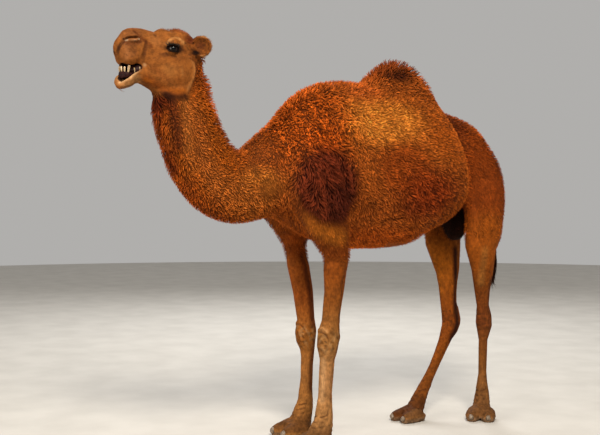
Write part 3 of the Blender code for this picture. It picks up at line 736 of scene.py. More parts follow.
# Lines on a fore leg: rows of (height, angle), width, height of the ridge or depth of the crease, taper
FORE_LINES = [
    ([(KNEE + 0.045, -55), (KNEE + 0.072, -25), (KNEE + 0.076, 5), (KNEE + 0.066, 30), (KNEE + 0.04, 55)],
        0.011, 0.005, 0.2),
    ([(KNEE + 0.03, -50), (KNEE + 0.056, -22), (KNEE + 0.06, 5), (KNEE + 0.05, 30), (KNEE + 0.026, 52)],
        0.008, -0.003, 0.2),
    ([(KNEE + 0.04, 0), (KNEE - 0.03, 4)], 0.042, 0.005, 0.0),
    ([(KNEE + 0.018, -42), (KNEE + 0.022, 0), (KNEE + 0.012, 42)], 0.0065, -0.003, 0.25),
    ([(KNEE - 0.006, -38), (KNEE - 0.002, 5), (KNEE - 0.012, 45)], 0.0065, -0.0028, 0.25),
    ([(KNEE - 0.032, -40), (KNEE - 0.028, 0), (KNEE - 0.038, 40)], 0.0065, -0.0028, 0.25),
    ([(KNEE - 0.06, -45), (KNEE - 0.068, 0), (KNEE - 0.06, 45)], 0.01, -0.003, 0.25),
    ([(KNEE - 0.02, 70), (KNEE - 0.055, 62)], 0.018, 0.0045, 0.0),
    ([(KNEE + 0.03, 160), (KNEE - 0.03, 178)], 0.026, 0.005, 0.0),
    ([(0.47, 118), (0.36, 112), (0.24, 116)], 0.011, -0.0042, 0.15),
    ([(0.47, -118), (0.36, -112), (0.24, -116)], 0.011, -0.0042, 0.15),
    ([(0.47, 35), (0.34, 30), (0.23, 38)], 0.012, -0.0018, 0.2),
    ([(0.9, 42), (0.78, 50), (0.66, 62)], 0.022, -0.0045, 0.2),
    ([(0.9, 120), (0.78, 125), (0.65, 140)], 0.02, -0.0045, 0.2),
    ([(0.9, -40), (0.76, -52), (0.65, -60)], 0.022, -0.004, 0.2),
    ([(0.185, 180), (0.15, 175)], 0.026, 0.0055, 0.0),
    ([(0.176, -70), (0.166, -20), (0.168, 40), (0.178, 80)], 0.007, -0.0026, 0.25),
    ([(0.15, -60), (0.138, -10), (0.142, 50)], 0.007, -0.0024, 0.25),
    ([(0.125, -60), (0.112, 0), (0.118, 60)], 0.007, -0.002, 0.25),
]
HIND_LINES = [
    ([(HOCK + 0.045, 180), (HOCK - 0.02, 180)], 0.022, 0.0065, 0.0),
    ([(0.82, 128), (0.74, 128), (0.64, 130)], 0.017, -0.007, 0.2),
    ([(0.82, -128), (0.74, -128), (0.64, -130)], 0.017, -0.007, 0.2),
    ([(0.88, 172), (0.76, 178), (0.65, 180)], 0.014, 0.0035, 0.2),
    ([(HOCK + 0.03, 60), (HOCK - 0.01, 75), (HOCK - 0.045, 70)], 0.018, 0.004, 0.2),
    ([(HOCK + 0.038, -50), (HOCK + 0.034, 0), (HOCK + 0.04, 50)], 0.007, -0.0026, 0.25),
    ([(HOCK + 0.01, -55), (HOCK + 0.004, 0), (HOCK + 0.012, 55)], 0.007, -0.0028, 0.25),
    ([(HOCK - 0.02, -50), (HOCK - 0.028, 0), (HOCK - 0.018, 50)], 0.007, -0.0026, 0.25),
    ([(HOCK - 0.05, -50), (HOCK - 0.056, 0), (HOCK - 0.048, 50)], 0.007, -0.002, 0.25),
    ([(0.46, 112), (0.36, 108), (0.23, 112)], 0.01, -0.0038, 0.15),
    ([(0.46, -112), (0.36, -108), (0.23, -112)], 0.01, -0.0038, 0.15),
    ([(0.98, 60), (0.88, 66), (0.76, 74)], 0.026, -0.005, 0.2),
    ([(0.18, 180), (0.148, 175)], 0.022, 0.005, 0.0),
    ([(0.172, -70), (0.162, -20), (0.164, 40), (0.174, 80)], 0.0065, -0.0024, 0.25),
    ([(0.146, -60), (0.134, -10), (0.138, 50)], 0.0065, -0.0022, 0.25),
    ([(0.122, -60), (0.11, 0), (0.116, 60)], 0.0065, -0.002, 0.25),
]
normals = normals_of(skin_points, skin_triangles)
for (side, hind), leg in LEGS.items():
    for rows, width, height, taper in HIND_LINES if hind else FORE_LINES:
        path = np.array([on_leg(leg, side, level, angle) for level, angle in rows])
        press(skin_points, normals, path, width, height, taper)
print("lines on each leg:", len(FORE_LINES), "in front,", len(HIND_LINES), "behind")

# %% [markdown]
# ## Toes, stifle and chest pad
# A camel stands on two broad toes that are joined underneath by one soft pad. Between the toes runs a cleft,
# and each toe ends in a nail that doesn't reach the floor. Above the left stifle the skin folds where the leg
# bends, and behind the forelegs hangs the hard pad on which the camel rests when it lies down.

# %% Clefts between the toes
FEET = ("fore_{}_left", "fore_{}_right", "hind_{}_left", "hind_{}_right")


def middle_of(node):
    low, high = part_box(node)
    return (np.array(low) + np.array(high)) / 2


def foot_frame(name):
    """The floor point between a foot's nails, the ways ahead and across, and how far apart the nails are."""
    left, right = (middle_of(name.format("nail") + "_" + which) for which in ("left", "right"))
    across = unit((left - right) * (1, 1, 0))
    ahead = np.array([across[1], -across[0], 0.0])
    return (left + right) / 2 * (1, 1, 0), ahead, across, np.linalg.norm(left - right)


def on_foot(foot, rows):
    """A path from rows of (ahead, across, up), in shares of the distance between the foot's nails."""
    front, ahead, across, size = foot
    return [front + ahead * (size * a) + across * (size * w) + np.array([0, 0, size * h]) for a, w, h in rows]


normals = normals_of(skin_points, skin_triangles)
for name in FEET:
    foot = foot_frame(name)
    cleft = on_foot(foot, [(-0.85, 0, 0.92), (-0.45, 0, 0.62), (0.0, 0, 0.42), (0.08, 0, 0.16)])
    press(skin_points, normals, cleft, 0.017, -0.01)
    for turn in (1, -1):
        toe = [(-1.0, turn * 0.35, 0.72), (-0.45, turn * 0.42, 0.56), (-0.05, turn * 0.48, 0.44)]
        press(skin_points, normals, on_foot(foot, toe), 0.026, 0.0035)
        edge = [(a, turn * w, 0.16) for a, w in ((-1.5, 0.62), (-0.9, 0.82), (-0.2, 0.86), (0.1, 0.62))]
        press(skin_points, normals, on_foot(foot, edge), 0.009, -0.003, 0.1)
print("foot spread", [round(float(np.linalg.norm(foot_frame(name)[0])), 2) for name in FEET])

# %% Wrinkled feet, stifle and chest pad
feet = np.flatnonzero((skin_points[:, 2] < 0.13) & (skin_points[:, 2] > 0.006))
wrinkles = 0.0006 * waves(skin_points[feet] * (1, 1, 1.8), 0.016, 21)
skin_points[feet] += normals[feet] * (wrinkles * soft_step(0.006, 0.03, skin_points[feet, 2]))[:, None]
STIFLE = [(0.255, 0.985, 1.028), (0.262, 0.955, 1.016), (0.25, 0.92, 1.02), (0.232, 0.885, 1.032)]
press(skin_points, normals, STIFLE, 0.012, -0.007, 0.15, 0.3)
press(skin_points, normals, np.array(STIFLE) + (0, 0, 0.018), 0.016, 0.0055, 0.15, 0.3)
press(skin_points, normals, np.array(STIFLE) - (0.004, 0, 0.024), 0.01, -0.0035, 0.15, 0.3)
CHEST_PAD = [(0.0, -0.22, 1.05), (0.0, -0.14, 1.02), (0.0, -0.06, 1.01)]
press(skin_points, normals, CHEST_PAD, 0.1, 0.022)
print("wrinkled points on the feet:", len(feet))

# %% Final thinning
SKIN_POINTS = 96000  # a mesh has about two triangles for each point, and a piece stays under 200,000

set_points(body.data, skin_points)
body.data.update()
details = 1 - 0.999 * near_eyes_or_nostrils(skin_points)
thinned(body, details, SKIN_POINTS)
body.name = "skin"
skin_points = points_of(body.data)
skin_points[:, 2] = np.maximum(skin_points[:, 2], 0)  # the soles end at the floor
set_points(body.data, skin_points)
skin_triangles = triangles_of(body.data)
skin_normals = normals_of(skin_points, skin_triangles)
print("skin", len(skin_points), "points", len(skin_triangles), "triangles")

# %% [markdown]
# ## Colours of the camel
# Animals are coloured in soft washes: a ground colour first, and over it darker or paler areas that fade at
# their edges. Some washes are painted light and shade: highlights on ridges and edges, and shade in creases,
# hollows, grooves and between parts. The washes are worked out from a place on the camel, so skin and wool
# get the same markings and the same painted light and shade.

# %% Washes on the trunk and neck
def linear(code):
    """A hex colour in sRGB as linear red, green and blue."""
    values = np.array([int(code[i : i + 2], 16) for i in (1, 3, 5)]) / 255
    return np.where(values <= 0.04045, values / 12.92, ((values + 0.055) / 1.055) ** 2.4)


# colour, strength, centre, reach, inner share that is fully covered
TRUNK_BLOBS = [
    ("#9A5118", 0.8, (0.24, 0.28, 1.62), (0.3, 0.62, 0.42), 0.2),
    # golden wool on the upper flank, made paler by a painted highlight from the light above
    ("#BC7228", 0.9, (0.24, 0.14, 1.7), (0.24, 0.4, 0.19), 0.3),
    ("#96440E", 0.9, (0.16, -0.27, 1.68), (0.34, 0.34, 0.34), 0.35),
    ("#A8480B", 0.5, (0.28, -0.24, 1.62), (0.18, 0.2, 0.1), 0.3),
    ("#A4501B", 0.75, (0.14, 0.12, 1.87), (0.12, 0.18, 0.12), 0.2),
    ("#843A0E", 0.85, (0.33, 0.24, 1.46), (0.24, 0.24, 0.19), 0.4),
    ("#9D4D13", 0.6, (0.3, 0.58, 1.64), (0.2, 0.22, 0.22), 0.2),
    ("#742A0B", 0.85, (0.31, 0.42, 1.32), (0.26, 0.3, 0.2), 0.25),
    ("#52200C", 0.45, (0.3, 0.34, 1.25), (0.16, 0.18, 0.09), 0.2),
    ("#A84E15", 0.85, (0.0, 0.2, 1.05), (0.36, 0.7, 0.16), 0.5),
    ("#54200A", 0.8, (0.13, 0.82, 1.72), (0.26, 0.28, 0.22), 0.2),
    ("#984310", 0.85, (0.22, 0.98, 1.42), (0.28, 0.27, 0.46), 0.3),
    ("#B25C16", 0.75, (0.2, 1.0, 1.1), (0.2, 0.2, 0.17), 0.3),
    ("#A4571A", 0.5, (0.33, 0.8, 1.3), (0.1, 0.1, 0.3), 0.2),
    ("#5E260A", 0.75, (0.12, 1.1, 1.35), (0.14, 0.12, 0.4), 0.3),
    ("#8E470F", 0.85, (0.0, -0.88, 1.52), (0.3, 0.34, 0.52), 0.45),
    ("#AC6624", 0.75, (0.16, -0.58, 1.36), (0.16, 0.18, 0.14), 0.3),
    ("#95501A", 0.8, (0.12, -0.6, 1.28), (0.2, 0.22, 0.16), 0.2),
    ("#66260D", 0.8, (0.3, -0.24, 1.44), (0.24, 0.235, 0.215), 0.45),
    ("#501E0E", 0.96, (0.3, -0.235, 1.36), (0.26, 0.225, 0.222), 0.72),
    ("#38140B", 0.8, (0.3, -0.155, 1.28), (0.22, 0.16, 0.15), 0.4),
    ("#2C0E06", 0.92, (0.03, 0.4, 1.975), (0.14, 0.17, 0.07), 0.5),
]
# colour, strength, path, reach
TRUNK_STRIPES = [
    ("#8A3D10", 0.6, BACK_LINE, 0.14),
    ("#7E3A12", 0.85, HUMP_CREST, 0.17),
    ("#3A1208", 0.9, HUMP_CREST, 0.11),
    ("#6A3011", 0.6, [(0.11, -0.91, 1.69), (0.12, -0.89, 1.48), (0.13, -0.84, 1.37), (0.1, -0.8, 1.28)],
        0.055),
    ("#B5702A", 0.65, [(0.3, 0.0, 1.21), (0.28, 0.13, 1.145), (0.24, 0.34, 1.105)], 0.026),
    # painted highlight along the barrel's rear edge, and painted shade just behind it
    ("#A4581A", 0.6, [(0.12, 0.66, 1.79), (0.27, 0.72, 1.6), (0.28, 0.85, 1.45)], 0.04),
    ("#4E1F0B", 0.7, [(0.16, 0.7, 1.8), (0.29, 0.76, 1.6), (0.29, 0.88, 1.45), (0.26, 0.9, 1.37)], 0.022),
    ("#B5702A", 0.55, [(0.33, -0.07, 1.48), (0.33, 0.0, 1.41)], 0.024),
    ("#A8571A", 0.75, [(0.3, -0.02, 1.66), (0.34, 0.0, 1.45), (0.33, 0.02, 1.28)], 0.085),
    ("#97521D", 0.75, [(0.11, -0.95, 1.72), (0.12, -0.9, 1.5), (0.12, -0.8, 1.36), (0.15, -0.6, 1.28)], 0.11),
    ("#76330F", 0.85, NAPE_LINE, 0.1),
    ("#501C06", 0.95, BEARD_LINE, 0.108),
    ("#40160A", 0.75, [(0.055, -1.05, 1.8), (0.06, -1.02, 1.7), (0.06, -0.995, 1.56)], 0.052),
    ("#A8662C", 0.35, [(0.085, -0.975, 1.8), (0.09, -0.975, 1.7), (0.1, -0.965, 1.54), (0.11, -0.94, 1.4),
        (0.12, -0.9, 1.3)], 0.042),
    ("#4A200C", 0.75, [(0.03, -0.8, 1.66), (0.03, -0.74, 1.58), (0.03, -0.68, 1.53)], 0.06),
    ("#3F1306", 0.7, [(0.0, -1.02, 1.8), (0.0, -1.08, 1.76)], 0.08),
    ("#732E0A", 0.7, [(0.0, -0.92, 1.36), (0.0, -0.8, 1.2), (0.0, -0.6, 1.1)], 0.12),
    ("#B8691E", 0.92, [(0.24, -0.47, 1.33), (0.26, -0.43, 1.21), (0.27, -0.32, 1.13), (0.28, -0.14, 1.09)],
        0.078),
    # painted shade in the groove between the barrel and the thigh, and a near-black painted shadow deep in it
    ("#6A2C0C", 0.7, [(0.2, 0.93, 1.9), (0.26, 0.9, 1.55), (0.3, 0.86, 1.22)], 0.035),
    ("#1E0B05", 0.85, [(0.24, 0.856, 1.51), (0.27, 0.857, 1.44), (0.28, 0.83, 1.37), (0.27, 0.81, 1.28),
        (0.24, 0.79, 1.21), (0.2, 0.8, 1.13), (0.16, 0.845, 1.02)], 0.03),
]
print("washes on the trunk:", len(TRUNK_BLOBS) + len(TRUNK_STRIPES))

# %% Washes on the head
# colour, strength, centre (side, ahead, up), reach, inner share
HEAD_BLOBS = [
    # painted highlight on the round of the cheek
    ("#A8682F", 0.8, (0.085, 0.02, -0.105), (0.06, 0.07, 0.05), 0.2),
    ("#8A5228", 0.8, (0.04, 0.19, 0.06), 0.085, 0.3),
    ("#8A5228", 0.8, (0.045, 0.215, -0.025), 0.055, 0.4),
    ("#AE6C36", 0.6, (0.045, 0.08, 0.04), 0.05, 0.2),
    ("#8A4A18", 0.6, (0.09, -0.04, -0.155), (0.06, 0.06, 0.045), 0.2),
    # dark skin round the eye, deepened by painted shade under the brow and the lashes
    ("#160905", 0.92, (0.088, -0.016, 0.002), (0.055, 0.05, 0.031), 0.5),
    # painted shade in the tear groove below the front of the eye
    ("#4A2410", 0.6, (0.082, 0.044, -0.03), (0.04, 0.034, 0.018), 0.3),
    ("#8E3F10", 0.75, (0.0, -0.08, 0.1), (0.1, 0.08, 0.06), 0.2),
    ("#8A4618", 0.6, (0.095, -0.1, 0.03), 0.045, 0.2),
    ("#A87444", 0.9, (0.03, 0.2, -0.16), (0.06, 0.085, 0.05), 0.5),
    ("#7E5226", 0.6, (0.02, 0.225, -0.205), (0.05, 0.04, 0.02), 0.2),
    # painted shade under the lashes at the front corner of the eye
    ("#1B0C07", 0.92, (0.08, 0.04, 0.01), (0.022, 0.024, 0.017), 0.35),
    ("#3E1C0C", 0.6, (0.036, 0.069, 0.065), 0.015, 0.2),
]
# colour, strength, path in (side, ahead, up) or the name of a fold, reach
HEAD_STRIPES = [
    ("#84400F", 0.8, "jaw_edge", 0.042),
    # painted shade in the crease behind the cheek
    ("#6E2F0C", 0.75, "behind_cheek", 0.03),
    # painted highlights along the ridges of the cheek's edge and the brow
    ("#B9783F", 0.6, "cheek_edge", 0.016),
    ("#C8894C", 0.9, "brow", 0.014),
    # painted shade on the back slope of the brow and the cheek's edge
    ("#5A2A10", 0.75, [(0.088, -0.05, 0.062), (0.096, -0.082, 0.032), (0.1, -0.096, -0.012),
        (0.098, -0.12, -0.06), (0.095, -0.13, -0.105), (0.086, -0.122, -0.15)], 0.013),
    ("#6A3514", 0.65, [(0.07, 0.07, 0.04), (0.074, 0.046, 0.032), (0.076, 0.036, 0.016)], 0.01),
    ("#7A431C", 0.55, [(0.088, 0.05, -0.085), (0.088, 0.04, -0.12), (0.08, 0.03, -0.155)], 0.01),
    ("#B97C40", 0.45, [(0.092, 0.028, -0.08), (0.09, 0.018, -0.115), (0.084, 0.008, -0.15)], 0.01),
    ("#7A431C", 0.5, [(0.094, -0.01, -0.085), (0.094, -0.022, -0.125), (0.088, -0.03, -0.16)], 0.009),
    ("#B97C40", 0.4, [(0.095, -0.04, -0.08), (0.094, -0.05, -0.12), (0.088, -0.058, -0.16)], 0.01),
    ("#70401C", 0.55, [(0.056, 0.115, 0.01), (0.062, 0.095, -0.02), (0.064, 0.09, -0.05)], 0.01),
    ("#6E3B19", 0.5, [(0.052, 0.2, -0.005), (0.056, 0.18, -0.03), (0.054, 0.165, -0.055)], 0.008),
    ("#6E3B19", 0.45, [(0.048, 0.225, -0.01), (0.053, 0.208, -0.038), (0.05, 0.195, -0.068)], 0.007),
    # painted shade in the tear groove, here and just ahead of it
    ("#43200D", 0.75, "tear_groove", 0.009),
    ("#43200D", 0.75, [(0.066, 0.06, 0.004), (0.07, 0.052, -0.01)], 0.01),
    # painted shade in the creases of the nose, under the nostril and behind the lip
    ("#6B3412", 0.75, "nose_fold", 0.014),
    ("#5A2C14", 0.75, "under_nostril", 0.014),
    ("#4A2410", 0.85, "lip_back", 0.015),
    ("#A86A34", 0.3, [(0.056, 0.16, -0.046), (0.057, 0.158, -0.01), (0.056, 0.15, 0.014)], 0.012),
    # painted shade in the hollows of the cheek and the temple
    ("#7A4018", 0.55, "cheek_hollow", 0.03),
    ("#8A4C1E", 0.5, "temple", 0.03),
    ("#7C4218", 0.6, [(0.09, -0.052, 0.01), (0.094, -0.064, -0.02), (0.094, -0.05, -0.046)], 0.014),
    ("#7C4218", 0.5, [(0.086, 0.03, -0.04), (0.092, -0.005, -0.05), (0.094, -0.04, -0.044)], 0.012),
    # painted highlight on the front of the lip's lobe
    ("#A5683A", 0.4, [(0.05, 0.235, 0.006), (0.052, 0.225, -0.03), (0.046, 0.228, -0.062)], 0.016),
    ("#DDBB96", 0.9, "nostril_rim", 0.0065),
    # painted shade in the nostril's slit
    ("#150806", 0.98, "nostril_slit", 0.008),
    # painted shade in the lip's crease and split, and under the edge of the upper lip
    ("#24100A", 0.95, "lip_crease", 0.015),
    ("#2C140C", 0.92, "lip_split", 0.011),
    ("#4A2415", 0.85, "lip_edge", 0.01),
    ("#D2A271", 0.85, "lower_rim", 0.015),
    ("#D2A271", 0.8, [(0.004, 0.24, -0.168), (0.018, 0.242, -0.146), (0.032, 0.234, -0.12)], 0.011),
    # painted shade in the corner of the mouth
    ("#33160B", 0.8, "corner", 0.009),
]
THROAT = smooth_path(faces_of([(0.03, 0.125, -0.182), (0.045, 0.085, -0.2), (0.055, 0.04, -0.212),
                               (0.068, -0.03, -0.224), (0.076, -0.07, -0.22)]))
print("washes on the head:", len(HEAD_BLOBS) + len(HEAD_STRIPES))

# %% Inside of the mouth
MOUTH = faces_of([(0.0, ahead, -below) for ahead, below, wide, high in SCOOP])
MOUTH_REACH = np.array([(wide + high) / 2 for ahead, below, wide, high in SCOOP])


def inside_mouth(points):
    """1 on the lining of the mouth and the palate."""
    gap, along = path_distance(points, MOUTH)
    row = along * (len(MOUTH) - 1)
    reach = np.interp(row, np.arange(len(MOUTH)), MOUTH_REACH)
    floor_level = np.interp(row, np.arange(len(MOUTH)), MOUTH[:, 2]) - 0.75 * reach
    thick_floor = (points[:, 2] > floor_level) | (points[:, 1] < EYE[1] - 0.165)
    lining = soft_step(1.1, 0.97, gap / reach) * thick_floor
    palate = blob(points, face(0, 0.165, -0.098), (0.04, 0.093, 0.038), 0.88)
    return np.maximum(lining, palate)


# %% Washes on the legs
NARROW_CREASE = 0.009  # only creases narrower than this get painted shade

# the colour of each leg, given by side (1 is left) and whether it is a hind leg, at some heights. The colours
# differ from leg to leg partly as painted light, matched to how the lamps fall on each leg.
LEG_COLOURS = {
    (1, False): ((1.08, "#985014"), (0.92, "#8C4610"), (0.76, "#8A4C18"), (0.56, "#A26C36"),
        (0.35, "#BC8450"), (0.06, "#A8743F")),
    (-1, False): ((1.08, "#9A4E14"), (0.75, "#9A4E18"), (0.55, "#A26226"), (0.35, "#AA6C34"),
        (0.06, "#A56C33")),
    (1, True): ((1.12, "#A85414"), (0.98, "#A85614"), (0.8, "#7D400F"), (0.57, "#7C3F18"), (0.35, "#865020"),
        (0.06, "#936235")),
    (-1, True): ((1.1, "#A05414"), (0.9, "#AC5E14"), (0.57, "#8E4612"), (0.35, "#8E4A12"), (0.06, "#7A4418")),
}
# leg, colour, strength, rows of (height, angle), reach
LEG_STRIPES = [
    # painted shade in the groove at the back of the left foreleg
    ((1, False), "#6A3513", 0.6, ((0.95, 118), (0.7, 124), (0.5, 120), (0.25, 116)), 0.018),
    ((1, False), "#C08B57", 0.65, ((KNEE + 0.072, -35), (KNEE + 0.078, 5), (KNEE + 0.066, 35)), 0.016),
    ((1, False), "#C79A6B", 0.45, ((0.46, 20), (0.25, 25)), 0.026),
    ((1, False), "#7C4A22", 0.6, ((KNEE - 0.03, 0), (KNEE + 0.01, 0)), 0.034),
    # painted shade on the inner side of the right foreleg, which faces the other legs
    ((-1, False), "#5A240B", 0.75, ((1.0, -95), (0.75, -110), (0.45, -110), (0.25, -110)), 0.03),
    ((-1, False), "#6B3413", 0.55, ((KNEE - 0.03, 0), (KNEE + 0.01, 0)), 0.034),
    ((1, True), "#A46A2E", 0.55, ((0.99, 60), (0.9, 50), (0.8, 35)), 0.04),
    # painted shade in the groove behind the left gaskin
    ((1, True), "#5B2C10", 0.6, ((0.82, 128), (0.7, 130), (0.6, 140)), 0.022),
    # painted shade on the inner side of the right hind leg, which faces the other legs
    ((-1, True), "#2A0B05", 0.93, ((0.98, -108), (0.8, -113), (0.66, -116), (0.52, -116), (0.44, -122)),
        0.038),
    # painted light on the front of the right gaskin, which lies in shade
    ((-1, True), "#A65C18", 0.65, ((1.02, 20), (0.85, 10), (0.72, 5)), 0.035),
]


def wash(colour, code, amount):
    """Moves the colour of each point towards another, by its own amount between 0 and 1."""
    colour += (linear(code) - colour) * amount[:, None]


# %% Paint the trunk and the legs
def paint_trunk(colour, left):
    """Areas first, then stripes over them."""
    for code, strength, centre, reach, inner in TRUNK_BLOBS:
        wash(colour, code, strength * blob(left, centre, reach, inner))
    for code, strength, path, reach in TRUNK_STRIPES:
        wash(colour, code, strength * stripe(left, path, reach))


def paint_legs(colour, points, legs):
    """Each leg's colours, partly painted light, its stripes, painted shade in its narrow creases, and painted
    deep shade in the groin between the thighs.
    """
    for (side, hind), rows in LEG_COLOURS.items():
        levels, codes = zip(*rows[::-1])
        own = legs * (points[:, 0] * side > 0) * ((points[:, 1] > BETWEEN_LEGS) == hind)
        shade = np.stack([np.interp(points[:, 2], levels, band) for band in zip(*map(linear, codes))], 1)
        colour += (shade - colour) * own[:, None]
    for (side, hind), code, strength, rows, reach in LEG_STRIPES:
        path = [on_leg(LEGS[side, hind], side, level, angle) for level, angle in rows]
        wash(colour, code, strength * stripe(points, path, reach))
    for (side, hind), leg in LEGS.items():
        for rows, width, height, taper in HIND_LINES if hind else FORE_LINES:
            # painted shade in the narrow creases
            if width < NARROW_CREASE:
                path = [on_leg(leg, side, level, angle) for level, angle in rows]
                wash(colour, "#4E2812", 0.75 * stripe(points, path, 0.0075))
    # painted deep shade in the groin between the thighs
    wash(colour, "#120705", 0.95 * blob(points, (0.0, 0.97, 1.12), (0.11, 0.2, 0.2), 0.7))


def paint_joints_and_feet(colour, points, legs):
    """Mottled knees and hocks, brown feet, and a paler sole that is worn by sand."""
    fore = points[:, 1] < BETWEEN_LEGS
    for height, places in ((KNEE, fore), (HOCK, ~fore)):
        joint = legs * places * soft_step(0.085, 0.03, np.abs(points[:, 2] - height))
        wash(colour, "#57300F", 0.55 * joint * soft_step(0.1, 0.9, waves(points, 0.016, 12)))
        worn = 0.3 * joint * soft_step(0.1, 0.9, waves(points, 0.014, 13)) * (height == KNEE)
        wash(colour, "#C79A66", worn)
    brown_foot = 0.65 - 0.25 * ((points[:, 0] > 0) & (points[:, 1] > BETWEEN_LEGS))
    ankle = brown_foot * soft_step(0.16, 0.07, points[:, 2]) * soft_step(0.02, 0.05, points[:, 2])
    wash(colour, "#4C2A16", ankle)
    wash(colour, "#8A6E54", 0.7 * soft_step(0.034, 0.016, points[:, 2]))


def paint_tail(colour, points):
    """A brown tail with a darker tassel."""
    wash(colour, "#6E3817", of_the_tail(points))
    wash(colour, "#2C140B", of_the_tail(points) * soft_step(1.06, 0.92, points[:, 2]))


# %% Paint the head
def paint_head(colour, points, left, head):
    """The face with painted highlights on its ridges and painted shade in its creases, the dark rims of the
    lids, the painted shadow on the throat under the jaw, and the inside of the mouth, darkened with painted
    shade.
    """
    wash(colour, "#955622", head)
    for code, strength, centre, reach, inner in HEAD_BLOBS:
        wash(colour, code, head * strength * blob(left, face(*centre), reach, inner))
    for code, strength, path, reach in HEAD_STRIPES:
        rows = FOLDS[path][0] if isinstance(path, str) else path
        wash(colour, code, head * strength * stripe(left, smooth_path(faces_of(rows)), reach))
    for side in (1, -1):
        outside = lid_shape(points, side)[1] + 9 * (points[:, 0] * side < 0)  # 9 m keeps the other eye out
        back_corner = soft_step(0.0, 0.025, points[:, 1] - EYE[1])
        close = np.linalg.norm(left - EYE, axis=1) < EYE_RADIUS + 0.018
        wash(colour, "#0E0604", 0.97 * close * soft_step(0.009 + 0.006 * back_corner, 0.003, outside))
    # painted shadow under the jaw, on the throat
    wash(colour, "#2A0F07", 0.92 * stripe(left, THROAT, 0.026))
    wash(colour, "#A5560F", 0.6 * head * stripe(left, THROAT + (0.012, 0, 0.03), 0.02))
    # painted shade inside the mouth, over its dark lining and the palate
    wash(colour, "#1D0B08", 0.97 * inside_mouth(points))


EAR_SLOT = faces_of([(0.086, -0.106, -0.005), (0.105, -0.124, -0.008), (0.124, -0.142, -0.008)])


def paint_ears(colour, points, left):
    """A brown ear with painted shade in its hollow and slot, a dark root, uneven hair and a paler rim."""
    across = np.hypot(*((left - EAR_MIDDLE) / (ear_high - ear_low) * 2)[:, 1:].T)
    ear = (left[:, 0] > ear_low[0] + 0.006) * (np.linalg.norm(left - EAR_MIDDLE, axis=1) < EAR_REACH * 1.1)
    wash(colour, "#8A4C1C", 0.9 * ear)
    # painted shade in the hollow of the ear
    wash(colour, "#5A2A12", 0.8 * ear * blob(left, EAR_MIDDLE + (0.0, -0.006, 0.004), 0.034, 0.3))
    # painted shade in the ear's slot, deepest at its inner end
    wash(colour, "#1E0A06", 0.92 * ear * stripe(left, EAR_SLOT, 0.016))
    wash(colour, "#140704", 0.92 * blob(left, face(0.098, -0.116, -0.012), (0.03, 0.026, 0.017), 0.4))
    wash(colour, "#33190B", 0.55 * ear * soft_step(0.2, 1.0, waves(points, 0.009, 14)))
    wash(colour, "#5E240C", 0.85 * blob(left, face(0.07, -0.098, 0.05), (0.035, 0.04, 0.04), 0.3))
    rim = soft_step(0.72, 0.92, across) * (left[:, 0] > ear_low[0] + 0.04)
    wash(colour, "#B88250", 0.75 * ear * rim)


# %% The whole coat's colour
def coat_colour(points):
    """The linear colour of the coat at each point."""
    left = mirrored(points)
    head = of_the_head(points)
    legs = of_the_legs(points)
    colour = np.tile(linear("#864214"), (len(points), 1))
    paint_trunk(colour, left)
    paint_legs(colour, points, legs)
    paint_joints_and_feet(colour, points, legs)
    paint_tail(colour, points)
    paint_head(colour, points, left, head)
    paint_ears(colour, points, left)
    mottle = np.where(head > 0.5, 0.5, np.where(legs > 0.5, 0.8, 1.0))
    patchy = 1 + mottle * (0.09 * waves(points, 0.032, 3) + 0.13 * waves(points, 0.011, 4))
    return np.clip(colour * np.clip(patchy, 0.4, 1.7)[:, None], 0, 1)


skin_colour = coat_colour(skin_points)
print("skin colours, mean", skin_colour.mean(axis=0).round(3))

# %% [markdown]
# ## The lie of the coat
# Hair runs back from the muzzle, down the neck and the sides, and back along the spine. A few guide
# directions say so. At any other place the direction is their mean, weighted by nearness and laid flat on
# the skin.

